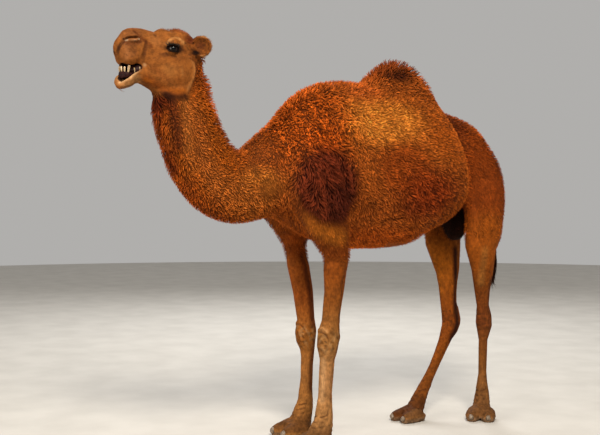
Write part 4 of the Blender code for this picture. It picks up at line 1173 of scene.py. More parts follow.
# %% Guide directions
# place on the left side, direction of the hair there
GUIDES = [
    (face(0.03, 0.22, 0.03), (0.1, 1, 0.2)), (face(0.05, 0.2, -0.03), (0.1, 0.8, -0.5)),
    (face(0.05, 0.1, 0.0), (0, 1, 0)), (face(0.09, -0.02, -0.12), (0, 0.7, -0.7)),
    (face(0.05, 0.05, -0.18), (0, 1, -0.3)), (face(0.04, 0.2, -0.17), (0, 1, 0.5)),
    (face(0.0, -0.05, 0.11), (0, 1, 0.1)), (face(0.09, 0.0, 0.05), (0.2, 1, 0.2)),
    (face(0.09, -0.11, -0.05), (0, 0.4, -0.9)), (EAR_MIDDLE, (0.6, 0.6, 0.4)),
    ((0.1, -0.93, 1.8), (0, 0.35, -1)), ((0, -0.84, 1.86), (0, 0.8, -0.5)),
    ((0, -0.74, 1.62), (0, 0.7, -0.7)), ((0, -1.09, 1.7), (0, 0.1, -1)), ((0.11, -0.92, 1.56), (0, 0.25, -1)),
    ((0, -1.03, 1.48), (0, 0.35, -1)), ((0.11, -0.78, 1.34), (0, 0.7, -0.8)), ((0, -0.7, 1.14), (0, 1, -0.3)),
    ((0.05, -0.5, 1.58), (0, 0.4, -0.9)), ((0, -0.42, 1.12), (0, 0.7, -0.7)),
    ((0.17, -0.22, 1.72), (0.2, 0.0, -1)), ((0, -0.22, 1.86), (0.2, 1, 0)),
    ((0.25, -0.2, 1.58), (0, 0.05, -1)), ((0.3, -0.16, 1.38), (0, 0.5, -0.9)),
    ((0.28, -0.36, 1.38), (0, -0.35, -0.9)), ((0.28, -0.24, 1.2), (0, 0.1, -1)),
    ((0.33, 0.2, 1.45), (0, 0.6, -0.8)), ((0.1, 0.12, 1.9), (0.4, 1, -0.2)),
    ((0, 0.3, 2.04), (0.3, 0.3, 0.8)), ((0, 0.44, 2.07), (0.3, 0.6, 0.5)),
    ((0.12, 0.42, 1.92), (0.3, 0.6, -0.6)), ((0, 0.66, 1.9), (0, 0.8, -0.6)),
    ((0.1, 0.85, 1.72), (0.1, 0.8, -0.6)), ((0.25, 0.98, 1.45), (0, 0.25, -1)), ((0, 0.2, 1.02), (0, 1, 0)),
    ((0.3, 0.4, 1.2), (0, 0.9, -0.4)), ((0.1, 1.12, 1.3), (0, -0.1, -1)), ((0.2, -0.2, 0.9), (0, 0, -1)),
    ((0.2, -0.2, 0.1), (0, -0.2, -1)), ((0.2, 1.0, 0.9), (0, 0, -1)), ((0.2, 1.0, 0.1), (0, -0.2, -1)),
    ((0, 1.27, 1.2), (0, 0, -1)),
]
GUIDE_PLACES = np.array([np.asarray(place, float) for place, way in GUIDES])
GUIDE_WAYS = unit(np.array([way for place, way in GUIDES], float))


def lie_of_coat(points, normals):
    """The direction in which the hair runs, along the skin."""
    turned = np.where(points[:, :1] < 0, (-1, 1, 1), (1, 1, 1))
    total = np.zeros_like(points)
    for place, way in zip(GUIDE_PLACES, GUIDE_WAYS):
        gap = ((points * turned - place) ** 2).sum(axis=1)
        total += way / (gap[:, None] + 0.03**2) ** 1.5
    total = unit(total) * turned
    return unit(total - normals * (total * normals).sum(axis=1)[:, None])


print("guide directions:", len(GUIDES))

# %% [markdown]
# ## Finishes
# Each finish is a small tree of nodes. The skin and the wool read their colour from an attribute named Coat,
# which holds the washes, and add what is finer than the mesh: strands, grain and unevenness, at real sizes.

# %% Node helper
MM = 1000.0  # a noise scale of MM / 5 gives grain of about 5 mm


def add_node(tree, kind, settings=(), links=()):
    """Adds a node, sets its inputs or properties by name, and links its inputs from other nodes' outputs."""
    node = tree.nodes.new(kind)
    for name, value in dict(settings).items():
        if isinstance(name, int) or name in node.inputs:
            node.inputs[name].default_value = value
        else:
            setattr(node, name, value)
    for name, source in dict(links).items():
        tree.links.new(source, node.inputs[name])
    return node


def finish(name, settings):
    """A new material with its tree, its shader set to constant values, and the Object coordinates."""
    material = bpy.data.materials.new(name)
    material.use_nodes = True
    tree = material.node_tree
    shader = tree.nodes["Principled BSDF"]
    for socket, value in settings.items():
        shader.inputs[socket].default_value = value
    return material, tree, shader, add_node(tree, "ShaderNodeTexCoord").outputs["Object"]


def rgba(code):
    return (*linear(code), 1.0)


# %% Hide under the coat
def coloured_by_coat(tree, shader, light, height, strength, depth):
    """Links the washes in Coat, made lighter or darker by light, as the colour, and height as the relief."""
    coat = add_node(tree, "ShaderNodeAttribute", {"attribute_name": "Coat"}).outputs["Color"]
    colour = add_node(tree, "ShaderNodeVectorMath", {"operation": "SCALE"}, {"Vector": coat, "Scale": light})
    bump = add_node(tree, "ShaderNodeBump", {"Strength": strength, "Distance": depth}, {"Height": height})
    tree.links.new(colour.outputs["Vector"], shader.inputs["Base Color"])
    tree.links.new(bump.outputs["Normal"], shader.inputs["Normal"])


def camel_hide():
    """Short hair lying on skin: a dry, dull surface with fine streaks along the hair."""
    material, tree, shader, place = finish("short_hair_on_hide", {
        "Roughness": 0.78, "IOR": 1.45, "Specular IOR Level": 0.08})
    back = add_node(tree, "ShaderNodeAttribute", {"attribute_name": "RunsBack"}).outputs["Fac"]
    runs = []
    for stretch in ((1, 1, 0.16), (1, 0.16, 1)):  # hair that runs down, hair that runs back
        drawn = add_node(tree, "ShaderNodeMapping", {"Scale": stretch}, {"Vector": place}).outputs["Vector"]
        noise = add_node(tree, "ShaderNodeTexNoise", {"Scale": MM / 3.2, "Detail": 3.0, "Roughness": 0.6},
                         {"Vector": drawn})
        runs.append(noise.outputs["Fac"])
    streaks = add_node(tree, "ShaderNodeMix", {"data_type": "FLOAT"},
                       {0: back, 2: runs[0], 3: runs[1]}).outputs[0]
    patches = add_node(tree, "ShaderNodeTexNoise", {"Scale": MM / 18, "Detail": 5.0},
                       {"Vector": place}).outputs["Fac"]
    strand_light = add_node(tree, "ShaderNodeMapRange",
                            {"From Min": 0.25, "From Max": 0.75, "To Min": 0.62, "To Max": 1.28},
                            {"Value": streaks}).outputs[0]
    patch_light = add_node(tree, "ShaderNodeMapRange",
                           {"From Min": 0.3, "From Max": 0.7, "To Min": 0.72, "To Max": 1.22},
                           {"Value": patches}).outputs[0]
    light = add_node(tree, "ShaderNodeMath", {"operation": "MULTIPLY"},
                     {0: strand_light, 1: patch_light}).outputs[0]
    coloured_by_coat(tree, shader, light, streaks, 0.45, 0.003)
    return material


# %% Wool
def camel_wool():
    """Dull woollen locks with a soft sheen of loose fibres. Painted shade at the roots and lightened tips
    come from Coat.
    """
    material, tree, shader, place = finish("camel_wool", {
        "Roughness": 0.72, "IOR": 1.55, "Specular IOR Level": 0.04, "Sheen Weight": 0.03,
        "Sheen Roughness": 0.45, "Sheen Tint": rgba("#D88A20")})
    fibres = add_node(tree, "ShaderNodeTexNoise", {"Scale": MM / 3, "Detail": 3.0},
                      {"Vector": place}).outputs["Fac"]
    light = add_node(tree, "ShaderNodeMapRange",
                     {"From Min": 0.3, "From Max": 0.7, "To Min": 0.78, "To Max": 1.22},
                     {"Value": fibres}).outputs[0]
    coloured_by_coat(tree, shader, light, fibres, 0.3, 0.001)
    return material


# %% Eye, horn, teeth and mouth
def two_tone(name, dark, light, grain, stretch, settings, strength=0.2, depth=0.0005):
    """A finish of two colours that run into each other in grain of a given size in millimetres."""
    material, tree, shader, place = finish(name, settings)
    lengthened = add_node(tree, "ShaderNodeMapping", {"Scale": stretch}, {"Vector": place}).outputs["Vector"]
    noise = add_node(tree, "ShaderNodeTexNoise", {"Scale": MM / grain, "Detail": 5.0}, {"Vector": lengthened})
    ramp = add_node(tree, "ShaderNodeValToRGB", {}, {"Fac": noise.outputs["Fac"]})
    for stop, where, code in zip(ramp.color_ramp.elements, (0.35, 0.65), (dark, light)):
        stop.position = where
        stop.color = rgba(code)
    bump = add_node(tree, "ShaderNodeBump", {"Strength": strength, "Distance": depth},
                    {"Height": noise.outputs["Fac"]})
    tree.links.new(ramp.outputs["Color"], shader.inputs["Base Color"])
    tree.links.new(bump.outputs["Normal"], shader.inputs["Normal"])
    return material


def wet_eye():
    """A dark brown eye under a clear wet layer, with a wide pupil."""
    material, tree, shader, place = finish("wet_eye", {
        "Roughness": 0.06, "IOR": 1.38, "Specular IOR Level": 0.22, "Coat Weight": 0.08,
        "Coat Roughness": 0.02})
    iris = add_node(tree, "ShaderNodeAttribute", {"attribute_name": "Iris"}).outputs["Fac"]
    fleck = add_node(tree, "ShaderNodeTexNoise", {"Scale": MM / 2, "Detail": 3.0},
                     {"Vector": place}).outputs["Fac"]
    uneven = add_node(tree, "ShaderNodeMath", {"operation": "MULTIPLY_ADD", 1: 0.1}, {0: fleck, 2: iris})
    ramp = add_node(tree, "ShaderNodeValToRGB", {}, {"Fac": uneven.outputs[0]})
    for code, where in (("#010101", 0.0), ("#020101", 0.34), ("#150904", 0.42), ("#1E0D05", 0.62),
                        ("#0C0604", 0.78), ("#120C09", 0.95)):
        stop = ramp.color_ramp.elements.new(where)
        stop.color = rgba(code)
    tree.links.new(ramp.outputs["Color"], shader.inputs["Base Color"])
    return material


HIDE = camel_hide()
WOOL = camel_wool()
EYE_GLOSS = wet_eye()
# toenail: worn keratin, greyish brown with fine ridges along its length
HORN = two_tone("worn_keratin", "#4A3B2E", "#83705A", 6, (1, 1, 0.3), {"Roughness": 0.48, "IOR": 1.54}, 0.4)
# tooth enamel, stained yellowish, in uneven streaks along its height
ENAMEL = two_tone("stained_enamel", "#7E5C34", "#B9A079", 7, (1, 1, 0.35),
                  {"Roughness": 0.3, "IOR": 1.62, "Coat Weight": 0.3, "Subsurface Weight": 0.05})
# gum and tongue: wet, dark pink flesh, painted near black as the shade inside the mouth
GUM_IN_SHADE = two_tone("wet_gum_in_shade", "#120605", "#2C110D", 9, (1, 1, 1), {"Roughness": 0.6, "IOR": 1.4,
                                                              "Specular IOR Level": 0.12})
TONGUE_IN_SHADE = two_tone("wet_tongue_in_shade", "#150806", "#2E1510", 5, (1, 1, 1), {"Roughness": 0.55, "IOR": 1.4,
                                                                    "Specular IOR Level": 0.15}, 0.5, 0.001)
# lashes: stiff, nearly black hair
LASH = two_tone("dark_lash", "#0B0705", "#1E120B", 8, (1, 1, 1), {"Roughness": 0.45, "IOR": 1.55})
print("finishes:", len(bpy.data.materials))

# %% [markdown]
# ## The skin as a piece
# The skin stands for all the solids of flesh. It gets the washes as an attribute: full strength where the
# hair is short, and much darker under the wool, because little light reaches the roots.

# %% Where the wool is long
BREAST = [(0.2, -0.52, 1.33), (0.25, -0.44, 1.22), (0.26, -0.32, 1.12), (0.26, -0.12, 1.1)]


def under_wool(points):
    """1 where long wool hides the skin, 0 on the face, the legs, the breast and the short-haired thighs."""
    left = mirrored(points)
    thigh = soft_step(0.8, 0.95, points[:, 1]) * soft_step(1.7, 1.5, points[:, 2])
    breast = stripe(left, BREAST, 0.12, 0.5)
    foreleg = soft_step(1.2, 1.08, points[:, 2]) * soft_step(0.08, -0.02, points[:, 1])
    foreleg = foreleg * soft_step(-0.52, -0.44, points[:, 1])
    face_share = soft_step(0.025, -0.005, past_the_cheek(points))
    wool = (1 - face_share) * (1 - of_the_legs(points)) * (1 - 0.75 * thigh) * (1 - of_the_tail(points))
    return wool * (1 - 0.85 * np.maximum(breast, foreleg))


def shagginess(points):
    """1 where the wool is long and curls in locks with dark roots, near 0 where it is dense and even."""
    left = mirrored(points)
    parts = [
        0.3 + 0 * points[:, 0],
        1.0 * blob(left, (0.15, -0.24, 1.68), (0.34, 0.36, 0.42), 0.55),
        0.95 * blob(left, PATCH_LEFT, (0.3, 0.27, 0.28), 0.6),
        1.0 * stripe(points, HUMP_CREST, 0.22, 0.4),
        0.75 * blob(left, (0.31, 0.42, 1.32), (0.26, 0.26, 0.18), 0.3),
        0.6 * blob(left, (0.1, 0.75, 1.78), (0.26, 0.36, 0.26), 0.3),
        0.9 * stripe(points, NAPE_LINE, 0.13, 0.3),
        0.95 * stripe(points, BEARD_LINE, 0.13, 0.4),
    ]
    return np.maximum.reduce(parts)


# %% Colours on the skin
# Wool shades itself, so its tips are made lighter than the colour seen, its roots get painted shade, and
# short hair a little darker
ROOT_LIGHT = 0.45
TIP_LIGHT = 2.45
EVEN_ROOT_LIGHT = 0.52
EVEN_TIP_LIGHT = 2.5
SHORT_LIGHT = 0.6


def set_colour(mesh, colour):
    layer = mesh.color_attributes.new("Coat", "FLOAT_COLOR", "POINT")
    rows = np.column_stack([colour, np.ones(len(colour))]).astype(np.float32)
    layer.data.foreach_set("color", rows.ravel())


def set_number(mesh, name, values):
    layer = mesh.attributes.new(name, "FLOAT", "POINT")
    layer.data.foreach_set("value", np.asarray(values, np.float32))


skin_lie = lie_of_coat(skin_points, skin_normals)
skin = body
skin.data.materials.clear()
skin.data.materials.append(HIDE)
skin.data.shade_smooth()
shaded = 0.55 * under_wool(skin_points) * shagginess(skin_points)
set_colour(skin.data, skin_colour * (SHORT_LIGHT * (1 - shaded))[:, None])
set_number(skin.data, "RunsBack", soft_step(-0.25, 0.25, np.abs(skin_lie[:, 1]) - np.abs(skin_lie[:, 2])))
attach(skin, "root")
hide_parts(*FLESH)
print("skin stands for", len(FLESH), "solids")

# %% [markdown]
# ## Eyes
# The eyeball is nearly a ball, with a low dome in front. Its colour depends on the angle from the middle of
# the eye, which is stored on the mesh. A camel's pupil is wide and low, so that angle is squeezed sideways.

# %% Eyeballs
def eyeball(side, name):
    bm = ball((0, 0, 0), (1, 1, 1), 64, 40)
    obj = object_of(bm, "eyeball_" + name)
    directions = unit(points_of(obj.data))
    out, back, up = eye_axes(side)
    front = directions @ out
    angle = np.arccos(np.clip(front, -1, 1))
    wide = np.hypot(0.62 * directions @ back, 1.0 * directions @ up)
    radius = EYE_RADIUS * (0.965 + 0.045 * soft_step(0.75, 0.1, angle))
    points = EYE * (side, 1, 1) + directions * radius[:, None]
    set_points(obj.data, points)
    pupil = np.where(front > 0, np.minimum(wide / 0.62, 1) * 0.35 + 0.35 * soft_step(0.2, 0.9, angle), 1.0)
    set_number(obj.data, "Iris", pupil)
    obj.data.materials.append(EYE_GLOSS)
    obj.data.shade_smooth()
    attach(obj, "root")
    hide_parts("eye_" + name)


eyeball(1, "left")
eyeball(-1, "right")

# %% [markdown]
# ## Lashes and teeth
# Both are one shape repeated along a line, each copy turned its own way, which is work for Geometry Nodes.
# One tree serves both. It reads from each point where the copy should face, which way is up, and how long it
# is. A camel has six incisors below and none above, where a hard pad takes their place.

# %% Tree that repeats a piece on points
def repeating_tree():
    tree = bpy.data.node_groups.new("repeat_on_points", "GeometryNodeTree")
    for name, kind in (("Points", "Geometry"), ("Piece", "Object"), ("Finish", "Material"),
                       ("Uneven", "Float")):
        tree.interface.new_socket(name, in_out="INPUT", socket_type="NodeSocket" + kind)
    tree.interface.new_socket("Result", in_out="OUTPUT", socket_type="NodeSocketGeometry")
    given = add_node(tree, "NodeGroupInput").outputs
    piece = add_node(tree, "GeometryNodeObjectInfo", {}, {"Object": given["Piece"]})
    facing, upwards = (
        add_node(tree, "GeometryNodeInputNamedAttribute", {"data_type": "FLOAT_VECTOR", "Name": name})
        for name in ("facing", "upwards")
    )
    size = add_node(tree, "GeometryNodeInputNamedAttribute", {"data_type": "FLOAT", "Name": "size"})
    turn = add_node(tree, "FunctionNodeAlignRotationToVector", {"axis": "Z"},
                    {"Vector": facing.outputs["Attribute"]})
    turn = add_node(tree, "FunctionNodeAlignRotationToVector", {"axis": "Y", "pivot_axis": "Z"},
                    {"Vector": upwards.outputs["Attribute"], "Rotation": turn.outputs["Rotation"]})
    chance = add_node(tree, "FunctionNodeRandomValue", {"data_type": "FLOAT", "Seed": 11})
    share = add_node(tree, "ShaderNodeMath", {"operation": "MULTIPLY"},
                     {0: chance.outputs[1], 1: given["Uneven"]})
    less = add_node(tree, "ShaderNodeMath", {"operation": "SUBTRACT", 0: 1.0}, {1: share.outputs[0]})
    scale = add_node(tree, "ShaderNodeMath", {"operation": "MULTIPLY"},
                     {0: size.outputs["Attribute"], 1: less.outputs[0]})
    copies = add_node(tree, "GeometryNodeInstanceOnPoints", {},
                      {"Points": given["Points"], "Instance": piece.outputs["Geometry"],
                       "Rotation": turn.outputs["Rotation"], "Scale": scale.outputs[0]})
    real = add_node(tree, "GeometryNodeRealizeInstances", {}, {"Geometry": copies.outputs["Instances"]})
    painted = add_node(tree, "GeometryNodeSetMaterial", {},
                       {"Geometry": real.outputs["Geometry"], "Material": given["Finish"]})
    add_node(tree, "NodeGroupOutput", {}, {"Result": painted.outputs["Geometry"]})
    return tree


REPEAT = repeating_tree()


def repeated(name, piece, rows, material, uneven):
    """Copies of a piece at rows of (place, facing, up, size), as one mesh object."""
    mesh = bpy.data.meshes.new(name)
    mesh.from_pydata([row[0] for row in rows], [], [])
    for number, label in ((1, "facing"), (2, "upwards")):
        layer = mesh.attributes.new(label, "FLOAT_VECTOR", "POINT")
        layer.data.foreach_set("vector", np.array([row[number] for row in rows], np.float32).ravel())
    set_number(mesh, "size", [row[3] for row in rows])
    obj = in_scene(name, mesh)
    change = obj.modifiers.new("repeat", "NODES")
    change.node_group = REPEAT
    sockets = {socket.name: socket.identifier for socket in REPEAT.interface.items_tree}
    change[sockets["Piece"]] = piece
    change[sockets["Finish"]] = material
    change[sockets["Uneven"]] = uneven
    applied(obj)
    obj.data.shade_smooth()
    bpy.data.objects.remove(piece)
    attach(obj, "root")
    print(name, len(rows), "copies,", len(obj.data.polygons), "faces")
    return obj


def lofted(name, rings):
    """A closed mesh through rings of equally many points, with a cap at both ends."""
    rings = np.asarray(rings, float)
    count, around = rings.shape[:2]
    corner = np.arange(around)
    start = (np.arange(count - 1) * around)[:, None]
    nextone = (corner + 1) % around
    quads = np.stack([start + corner, start + nextone, start + around + nextone, start + around + corner], 2)
    caps = np.stack([corner[::-1], (count - 1) * around + corner])
    return new_mesh(name, rings.reshape(-1, 3), [quads.reshape(-1, 4), caps])


# %% Lashes
def lash():
    """One lash, one long along Z, curving towards Y, and tapered."""
    rings = []
    turn = circle(5)
    for t in np.linspace(0, 1, 6):
        thick = 0.034 * (1 - 0.9 * t)
        ring = np.stack([thick * np.cos(turn), thick * np.sin(turn) + 0.34 * t**2,
                         0 * turn + t * (1 - 0.1 * t)], 1)
        rings.append(ring)
    return lofted("lash", rings)


def lash_rows(side):
    """Places for the lashes of one eye: long ones on the upper lid, short ones on the lower."""
    out, back, up = eye_axes(side)
    rows = []
    for lid, count, length in ((1, 90, 0.029), (-1, 40, 0.012)):
        for turn in np.radians(np.linspace(-57, 54, count)):
            arch = math.sqrt(max(1 - (turn / OPEN_HALF_WIDE) ** 2, 0))
            rise = (OPEN_UP if lid > 0 else -OPEN_DOWN) * arch
            flat = out * math.cos(turn) + back * math.sin(turn)
            root = EYE * (side, 1, 1) + (flat * math.cos(rise) + up * math.sin(rise)) * (EYE_RADIUS + 0.002)
            ahead = 1.25 if turn < 0.1 else 0.85
            loose = rng.normal(size=3) * 0.12
            way = unit(flat + up * (0.1 * lid) + loose - back * (0.35 if lid > 0 else 0.0))
            rows.append((root, way, up * lid, length * ahead * (0.75 + 0.25 * arch)))
    return rows


repeated("eyelashes", lash(), lash_rows(1) + lash_rows(-1), LASH, 0.35)

# %% Teeth
def tooth():
    """One incisor, one high along Z: a narrow root and a broad, blunt crown."""
    rings = []
    turn = circle(12)
    rows = ((-0.3, 0.1, 0.09), (0.0, 0.125, 0.1), (0.35, 0.16, 0.105), (0.7, 0.19, 0.095),
            (0.9, 0.185, 0.075), (0.98, 0.16, 0.055), (1.0, 0.12, 0.035))
    for high, wide, deep in rows:
        square = 1 / np.maximum(np.abs(np.cos(turn)), np.abs(np.sin(turn))) ** 0.55
        rings.append(np.stack([wide * square * np.cos(turn), deep * square * np.sin(turn) - 0.08 * high**2,
                               0 * turn + high], 1))
    return lofted("tooth", rings)


TOOTH_ARC = 0.031  # half the width of the row of incisors
TOOTH_STEP = 31  # degrees of the arc from one incisor to the next
GUM_LEVEL = -0.116  # height of the gum from the eye


def on_arc(degrees, up, wide=TOOTH_ARC):
    """A point on the arc of the front of the jaw."""
    turn = math.radians(degrees)
    return face(wide * math.sin(turn), 0.206 + 0.027 * math.cos(turn), up)


teeth = []
for i in range(6):
    degrees = (i - 2.5) * TOOTH_STEP + rng.normal() * 3.5
    outwards = np.array([math.sin(math.radians(degrees)), -math.cos(math.radians(degrees)), 0.0])
    lean = unit(np.array([0, 0, 1.0]) + 0.25 * outwards + rng.normal(size=3) * 0.07)
    teeth.append((on_arc(degrees, GUM_LEVEL - 0.002), lean, outwards, 0.03 + 0.003 * rng.normal()))
for side in (1, -1):
    for ahead, size in ((0.178, 0.019), (0.15, 0.012)):
        place = face(side * 0.034, ahead, GUM_LEVEL + 0.45 * (0.183 - ahead))
        teeth.append((place, unit(np.array([side * 0.1, -0.1, 1.0])), np.array([side, 0.0, 0.0]), size))
repeated("teeth", tooth(), teeth, ENAMEL, 0.1)

# %% [markdown]
# ## Gum, lip and tongue
# The teeth stand in a wet, dark gum that runs round the front of the jaw and back along both sides. Behind
# them lies the tongue, and the far lip and cheek close the mouth, so that no daylight shows between the
# teeth. All three are rings set along a course, with a cap at each end.

# %% Gum
def bar(name, course, half, high, around=12):
    """A rounded bar along a course: half its width, and half its height at each point."""
    across = unit(np.cross(unit(np.gradient(course, axis=0)), (0, 0, 1)))
    turn = circle(around)
    rings = [place + side * half * np.cos(turn)[:, None] + np.array([0, 0, rise]) * np.sin(turn)[:, None]
             for place, side, rise in zip(course, across, high)]
    return lofted(name, rings)


def put_in_mouth(obj, material):
    """Gives a piece of the mouth its finish and its body."""
    obj.data.materials.append(material)
    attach(obj, "root")


arc = [on_arc(degrees, GUM_LEVEL - 0.014) for degrees in np.linspace(-90, 90, 19)]
rows = ((0.12, 0.022), (0.145, 0.006), (0.17, -0.012))  # ahead of the eye, above the gum's level
gum_end = [face(0.031, ahead, GUM_LEVEL + rise) for ahead, rise in rows]
course = smooth_path([place * (-1, 1, 1) for place in gum_end] + arc + gum_end[::-1], 2)
high = 0.007 + 0.01 * np.sin(np.linspace(0, math.pi, len(course))) ** 0.7
gum = bar("gum", course, 0.006, high)
put_in_mouth(gum, GUM_IN_SHADE)
print("gum", len(gum.data.polygons), "faces")

# %% Inside of the right lip and cheek
course = smooth_path(faces_of([(-0.034, 0.1, -0.078), (-0.034, 0.15, -0.087), (-0.031, 0.195, -0.095),
                               (-0.021, 0.228, -0.097)]), 4)
high = 0.009 + 0.02 * np.sin(np.linspace(0.3, math.pi - 0.3, len(course)))
lip_lining = bar("lip_lining", course, 0.0035, high)
put_in_mouth(lip_lining, GUM_IN_SHADE)
print("lip lining", len(lip_lining.data.polygons), "faces")

# %% Tongue
TONGUE_HALF_WIDE = 0.036
TONGUE_HALF_HIGH = 0.029
TIP_START = 0.6  # the share of its length from which the tongue narrows to its tip

turn = circle(20)
rings = []
for t in np.linspace(0.02, 0.98, 16):
    width = math.pi * min(0.5, 0.16 + 0.62 * t)
    if t >= TIP_START:
        width = math.pi * (0.5 + 0.5 * (t - TIP_START) / 0.4)
    half = TONGUE_HALF_WIDE * math.sin(width)
    high = TONGUE_HALF_HIGH * half / TONGUE_HALF_WIDE
    middle = face(0, 0.06 + 0.14 * t, -0.086 - 0.008 * math.sin(2.4 * t) - 0.014 * t)
    groove = 0.0035 * np.exp(-((np.cos(turn) / 0.25) ** 2)) * (np.sin(turn) > 0)
    rings.append(middle + np.stack([half * np.cos(turn), 0 * turn, high * np.sin(turn) - groove], 1))
tongue = lofted("tongue", rings)
put_in_mouth(tongue, TONGUE_IN_SHADE)
print("tongue", len(tongue.data.polygons), "faces")

# %% [markdown]
# ## Toenails
# Each toe has one small, worn nail. The solids give their place and size. A copy of all eight is rounded by
# subdivision and gets low ridges along its length.

# %% Nails
NAILS = [name for name in nodes if "nail" in name]
nails = object_of(merged(NAILS), "toenails")
round_off = nails.modifiers.new("round", "SUBSURF")
round_off.levels = round_off.render_levels = 2
applied(nails)
nail_points = points_of(nails.data)
nail_normals = normals_of(nail_points, triangles_of(nails.data))
grooves = 0.001 + 0.0006 * waves(nail_points * (1, 1, 0.3), 0.004, 9)  # drawn out along the nail
nail_points += nail_normals * grooves[:, None]
nail_points[:, 2] = np.maximum(nail_points[:, 2], 0)  # not below the floor
set_points(nails.data, nail_points)
nails.data.shade_smooth()
nails.data.materials.clear()
nails.data.materials.append(HORN)
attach(nails, "root")
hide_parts(*NAILS)
print("nails", len(NAILS), "with", len(nails.data.polygons), "faces")

# %% [markdown]
# ## The coat
# A lock of wool is a thin, closed, three-sided spike that follows a curved path and may curl on its way.
# Locks are made all at once as arrays. Their roots are spread evenly over the skin, neighbours are gathered
# into clumps of about 18 mm whose tips draw together, and between the clumps the roots show, dark with
# painted shade.

# %% Roots of the locks
TRIES = 3.2  # places tried for each cell of the grid that thins them
GRID = 4000  # more cells than the camel is long, so that each cell has its own number


def scattered(spacing, seed, wanted):
    """Evenly spread places on the skin where wanted is true: points, and the triangle each lies on."""
    maker = np.random.default_rng(seed)
    chosen = skin_triangles[wanted]
    a, b, c = (skin_points[chosen[:, i]] for i in range(3))
    area = np.linalg.norm(np.cross(b - a, c - a), axis=1) / 2
    count = int(TRIES * area.sum() / spacing**2)
    pick = np.searchsorted(np.cumsum(area) / area.sum(), maker.random(count))
    pick = np.minimum(pick, len(chosen) - 1)
    u, v = maker.random((2, count))
    flip = u + v > 1
    u[flip], v[flip] = 1 - u[flip], 1 - v[flip]
    places = a[pick] + u[:, None] * (b - a)[pick] + v[:, None] * (c - a)[pick]
    cells = np.floor(places / spacing).astype(np.int64)
    kept = np.unique(cells @ np.array([1, GRID, GRID**2]), return_index=True)[1]
    weights = np.stack([1 - u - v, u, v], 1)[kept]
    return places[kept], chosen[pick[kept]], weights


def from_skin(values, corners, weights):
    """Values of the skin's points, at places inside its triangles."""
    return (values[corners] * weights[:, :, None]).sum(axis=1)


# %% Shape of a lock at each place
def lock_style(roots):
    """Length, thickness, curl, gathering, standing and reach along the lie of a lock for each root, in metres
    or shares.
    """
    left = mirrored(roots)
    behind = past_the_cheek(roots)
    short = 1 - under_wool(roots)
    crest = stripe(roots, HUMP_CREST, 0.13)
    nape = stripe(roots, NAPE_LINE, 0.085)
    beard = stripe(roots, BEARD_LINE, 0.1)
    patch = blob(left, (0.3, -0.25, 1.39), (0.22, 0.22, 0.24), 0.5)
    tail = of_the_tail(roots)
    ear = np.linalg.norm(left - EAR_MIDDLE, axis=1) < EAR_REACH
    fine = np.maximum(of_the_legs(roots), soft_step(0.01, -0.01, behind)) * (1 - tail)
    neck = (roots[:, 1] < -0.55) * (1 - fine)
    shag = shagginess(roots)
    even = 1 - shag
    length = 0.023 - 0.009 * even - 0.003 * neck + 0.048 * crest + 0.02 * nape + 0.042 * beard
    length = length + 0.02 * patch
    width = 0.0043 - 0.0013 * even + 0.0008 * np.maximum(crest, patch)
    curl = 0.0046 - 0.0026 * even - 0.002 * np.maximum(crest, patch)
    return {
        "length": length * (1 - 0.3 * short) * (1 - 0.5 * fine) + 0.05 * tail + 0.01 * ear,
        "width": width * (1 - 0.25 * short) * (1 - 0.48 * fine),
        "curl": curl * (1 - 0.75 * short) * (1 - 0.8 * tail),
        "gather": (0.62 - 0.35 * even - 0.2 * patch + 0.25 * crest) * (1 - 0.6 * short),
        "stand": 1.0 + 0.55 * crest + 0.25 * nape + 1.6 * ear,
        "along": 0.8 - 0.45 * crest - 0.25 * nape,
    }


# %% Faces and colours of locks
def lock_faces(count, rings):
    """The faces of so many locks: squares along the sides, three triangles at the tip, one over the root."""
    size = rings * 3 + 1
    corner = np.arange(3)
    around = (corner + 1) % 3
    start = 3 * np.arange(rings - 1)[:, None]
    quads = np.stack([start + corner, start + around, start + 3 + around, start + 3 + corner], 2)
    tips = np.stack([3 * rings - 3 + corner, 3 * rings - 3 + around, np.full(3, size - 1)], 1)
    ends = np.vstack([tips, corner[None, ::-1]])
    offset = (np.arange(count) * size)[:, None, None]
    return [(quads.reshape(-1, 4)[None] + offset).reshape(-1, 4), (ends[None] + offset).reshape(-1, 3)]


def lock_colours(roots, along, shade):
    """The colour of every point of every lock: painted shade at the root, lighter at the tip to make up for
    the wool's own shading, uneven between locks.
    """
    woolly, shag = under_wool(roots), shagginess(roots)
    root_light = EVEN_ROOT_LIGHT + (ROOT_LIGHT - EVEN_ROOT_LIGHT) * shag
    tip_light = EVEN_TIP_LIGHT + (TIP_LIGHT - EVEN_TIP_LIGHT) * shag
    root_light = SHORT_LIGHT * 0.9 + (root_light - SHORT_LIGHT * 0.9) * woolly
    tip_light = SHORT_LIGHT * 1.25 + (tip_light - SHORT_LIGHT * 1.25) * woolly
    light = root_light[:, None] + (tip_light - root_light)[:, None] * np.power(along, 0.8)[None]
    light = light * np.clip(1 + shade, 0.35, 1.8)[:, None]
    return np.clip(coat_colour(roots)[:, None] * light[:, :, None], 0, 1).reshape(-1, 3)


# %% Build the locks of one piece
LOCKS_IN_CLUMP = 3.2
CURL_TURNS = 1.15  # turns of a lock's curl from root to tip
ROOT_SINK = 0.0015  # how deep a root is set in the skin


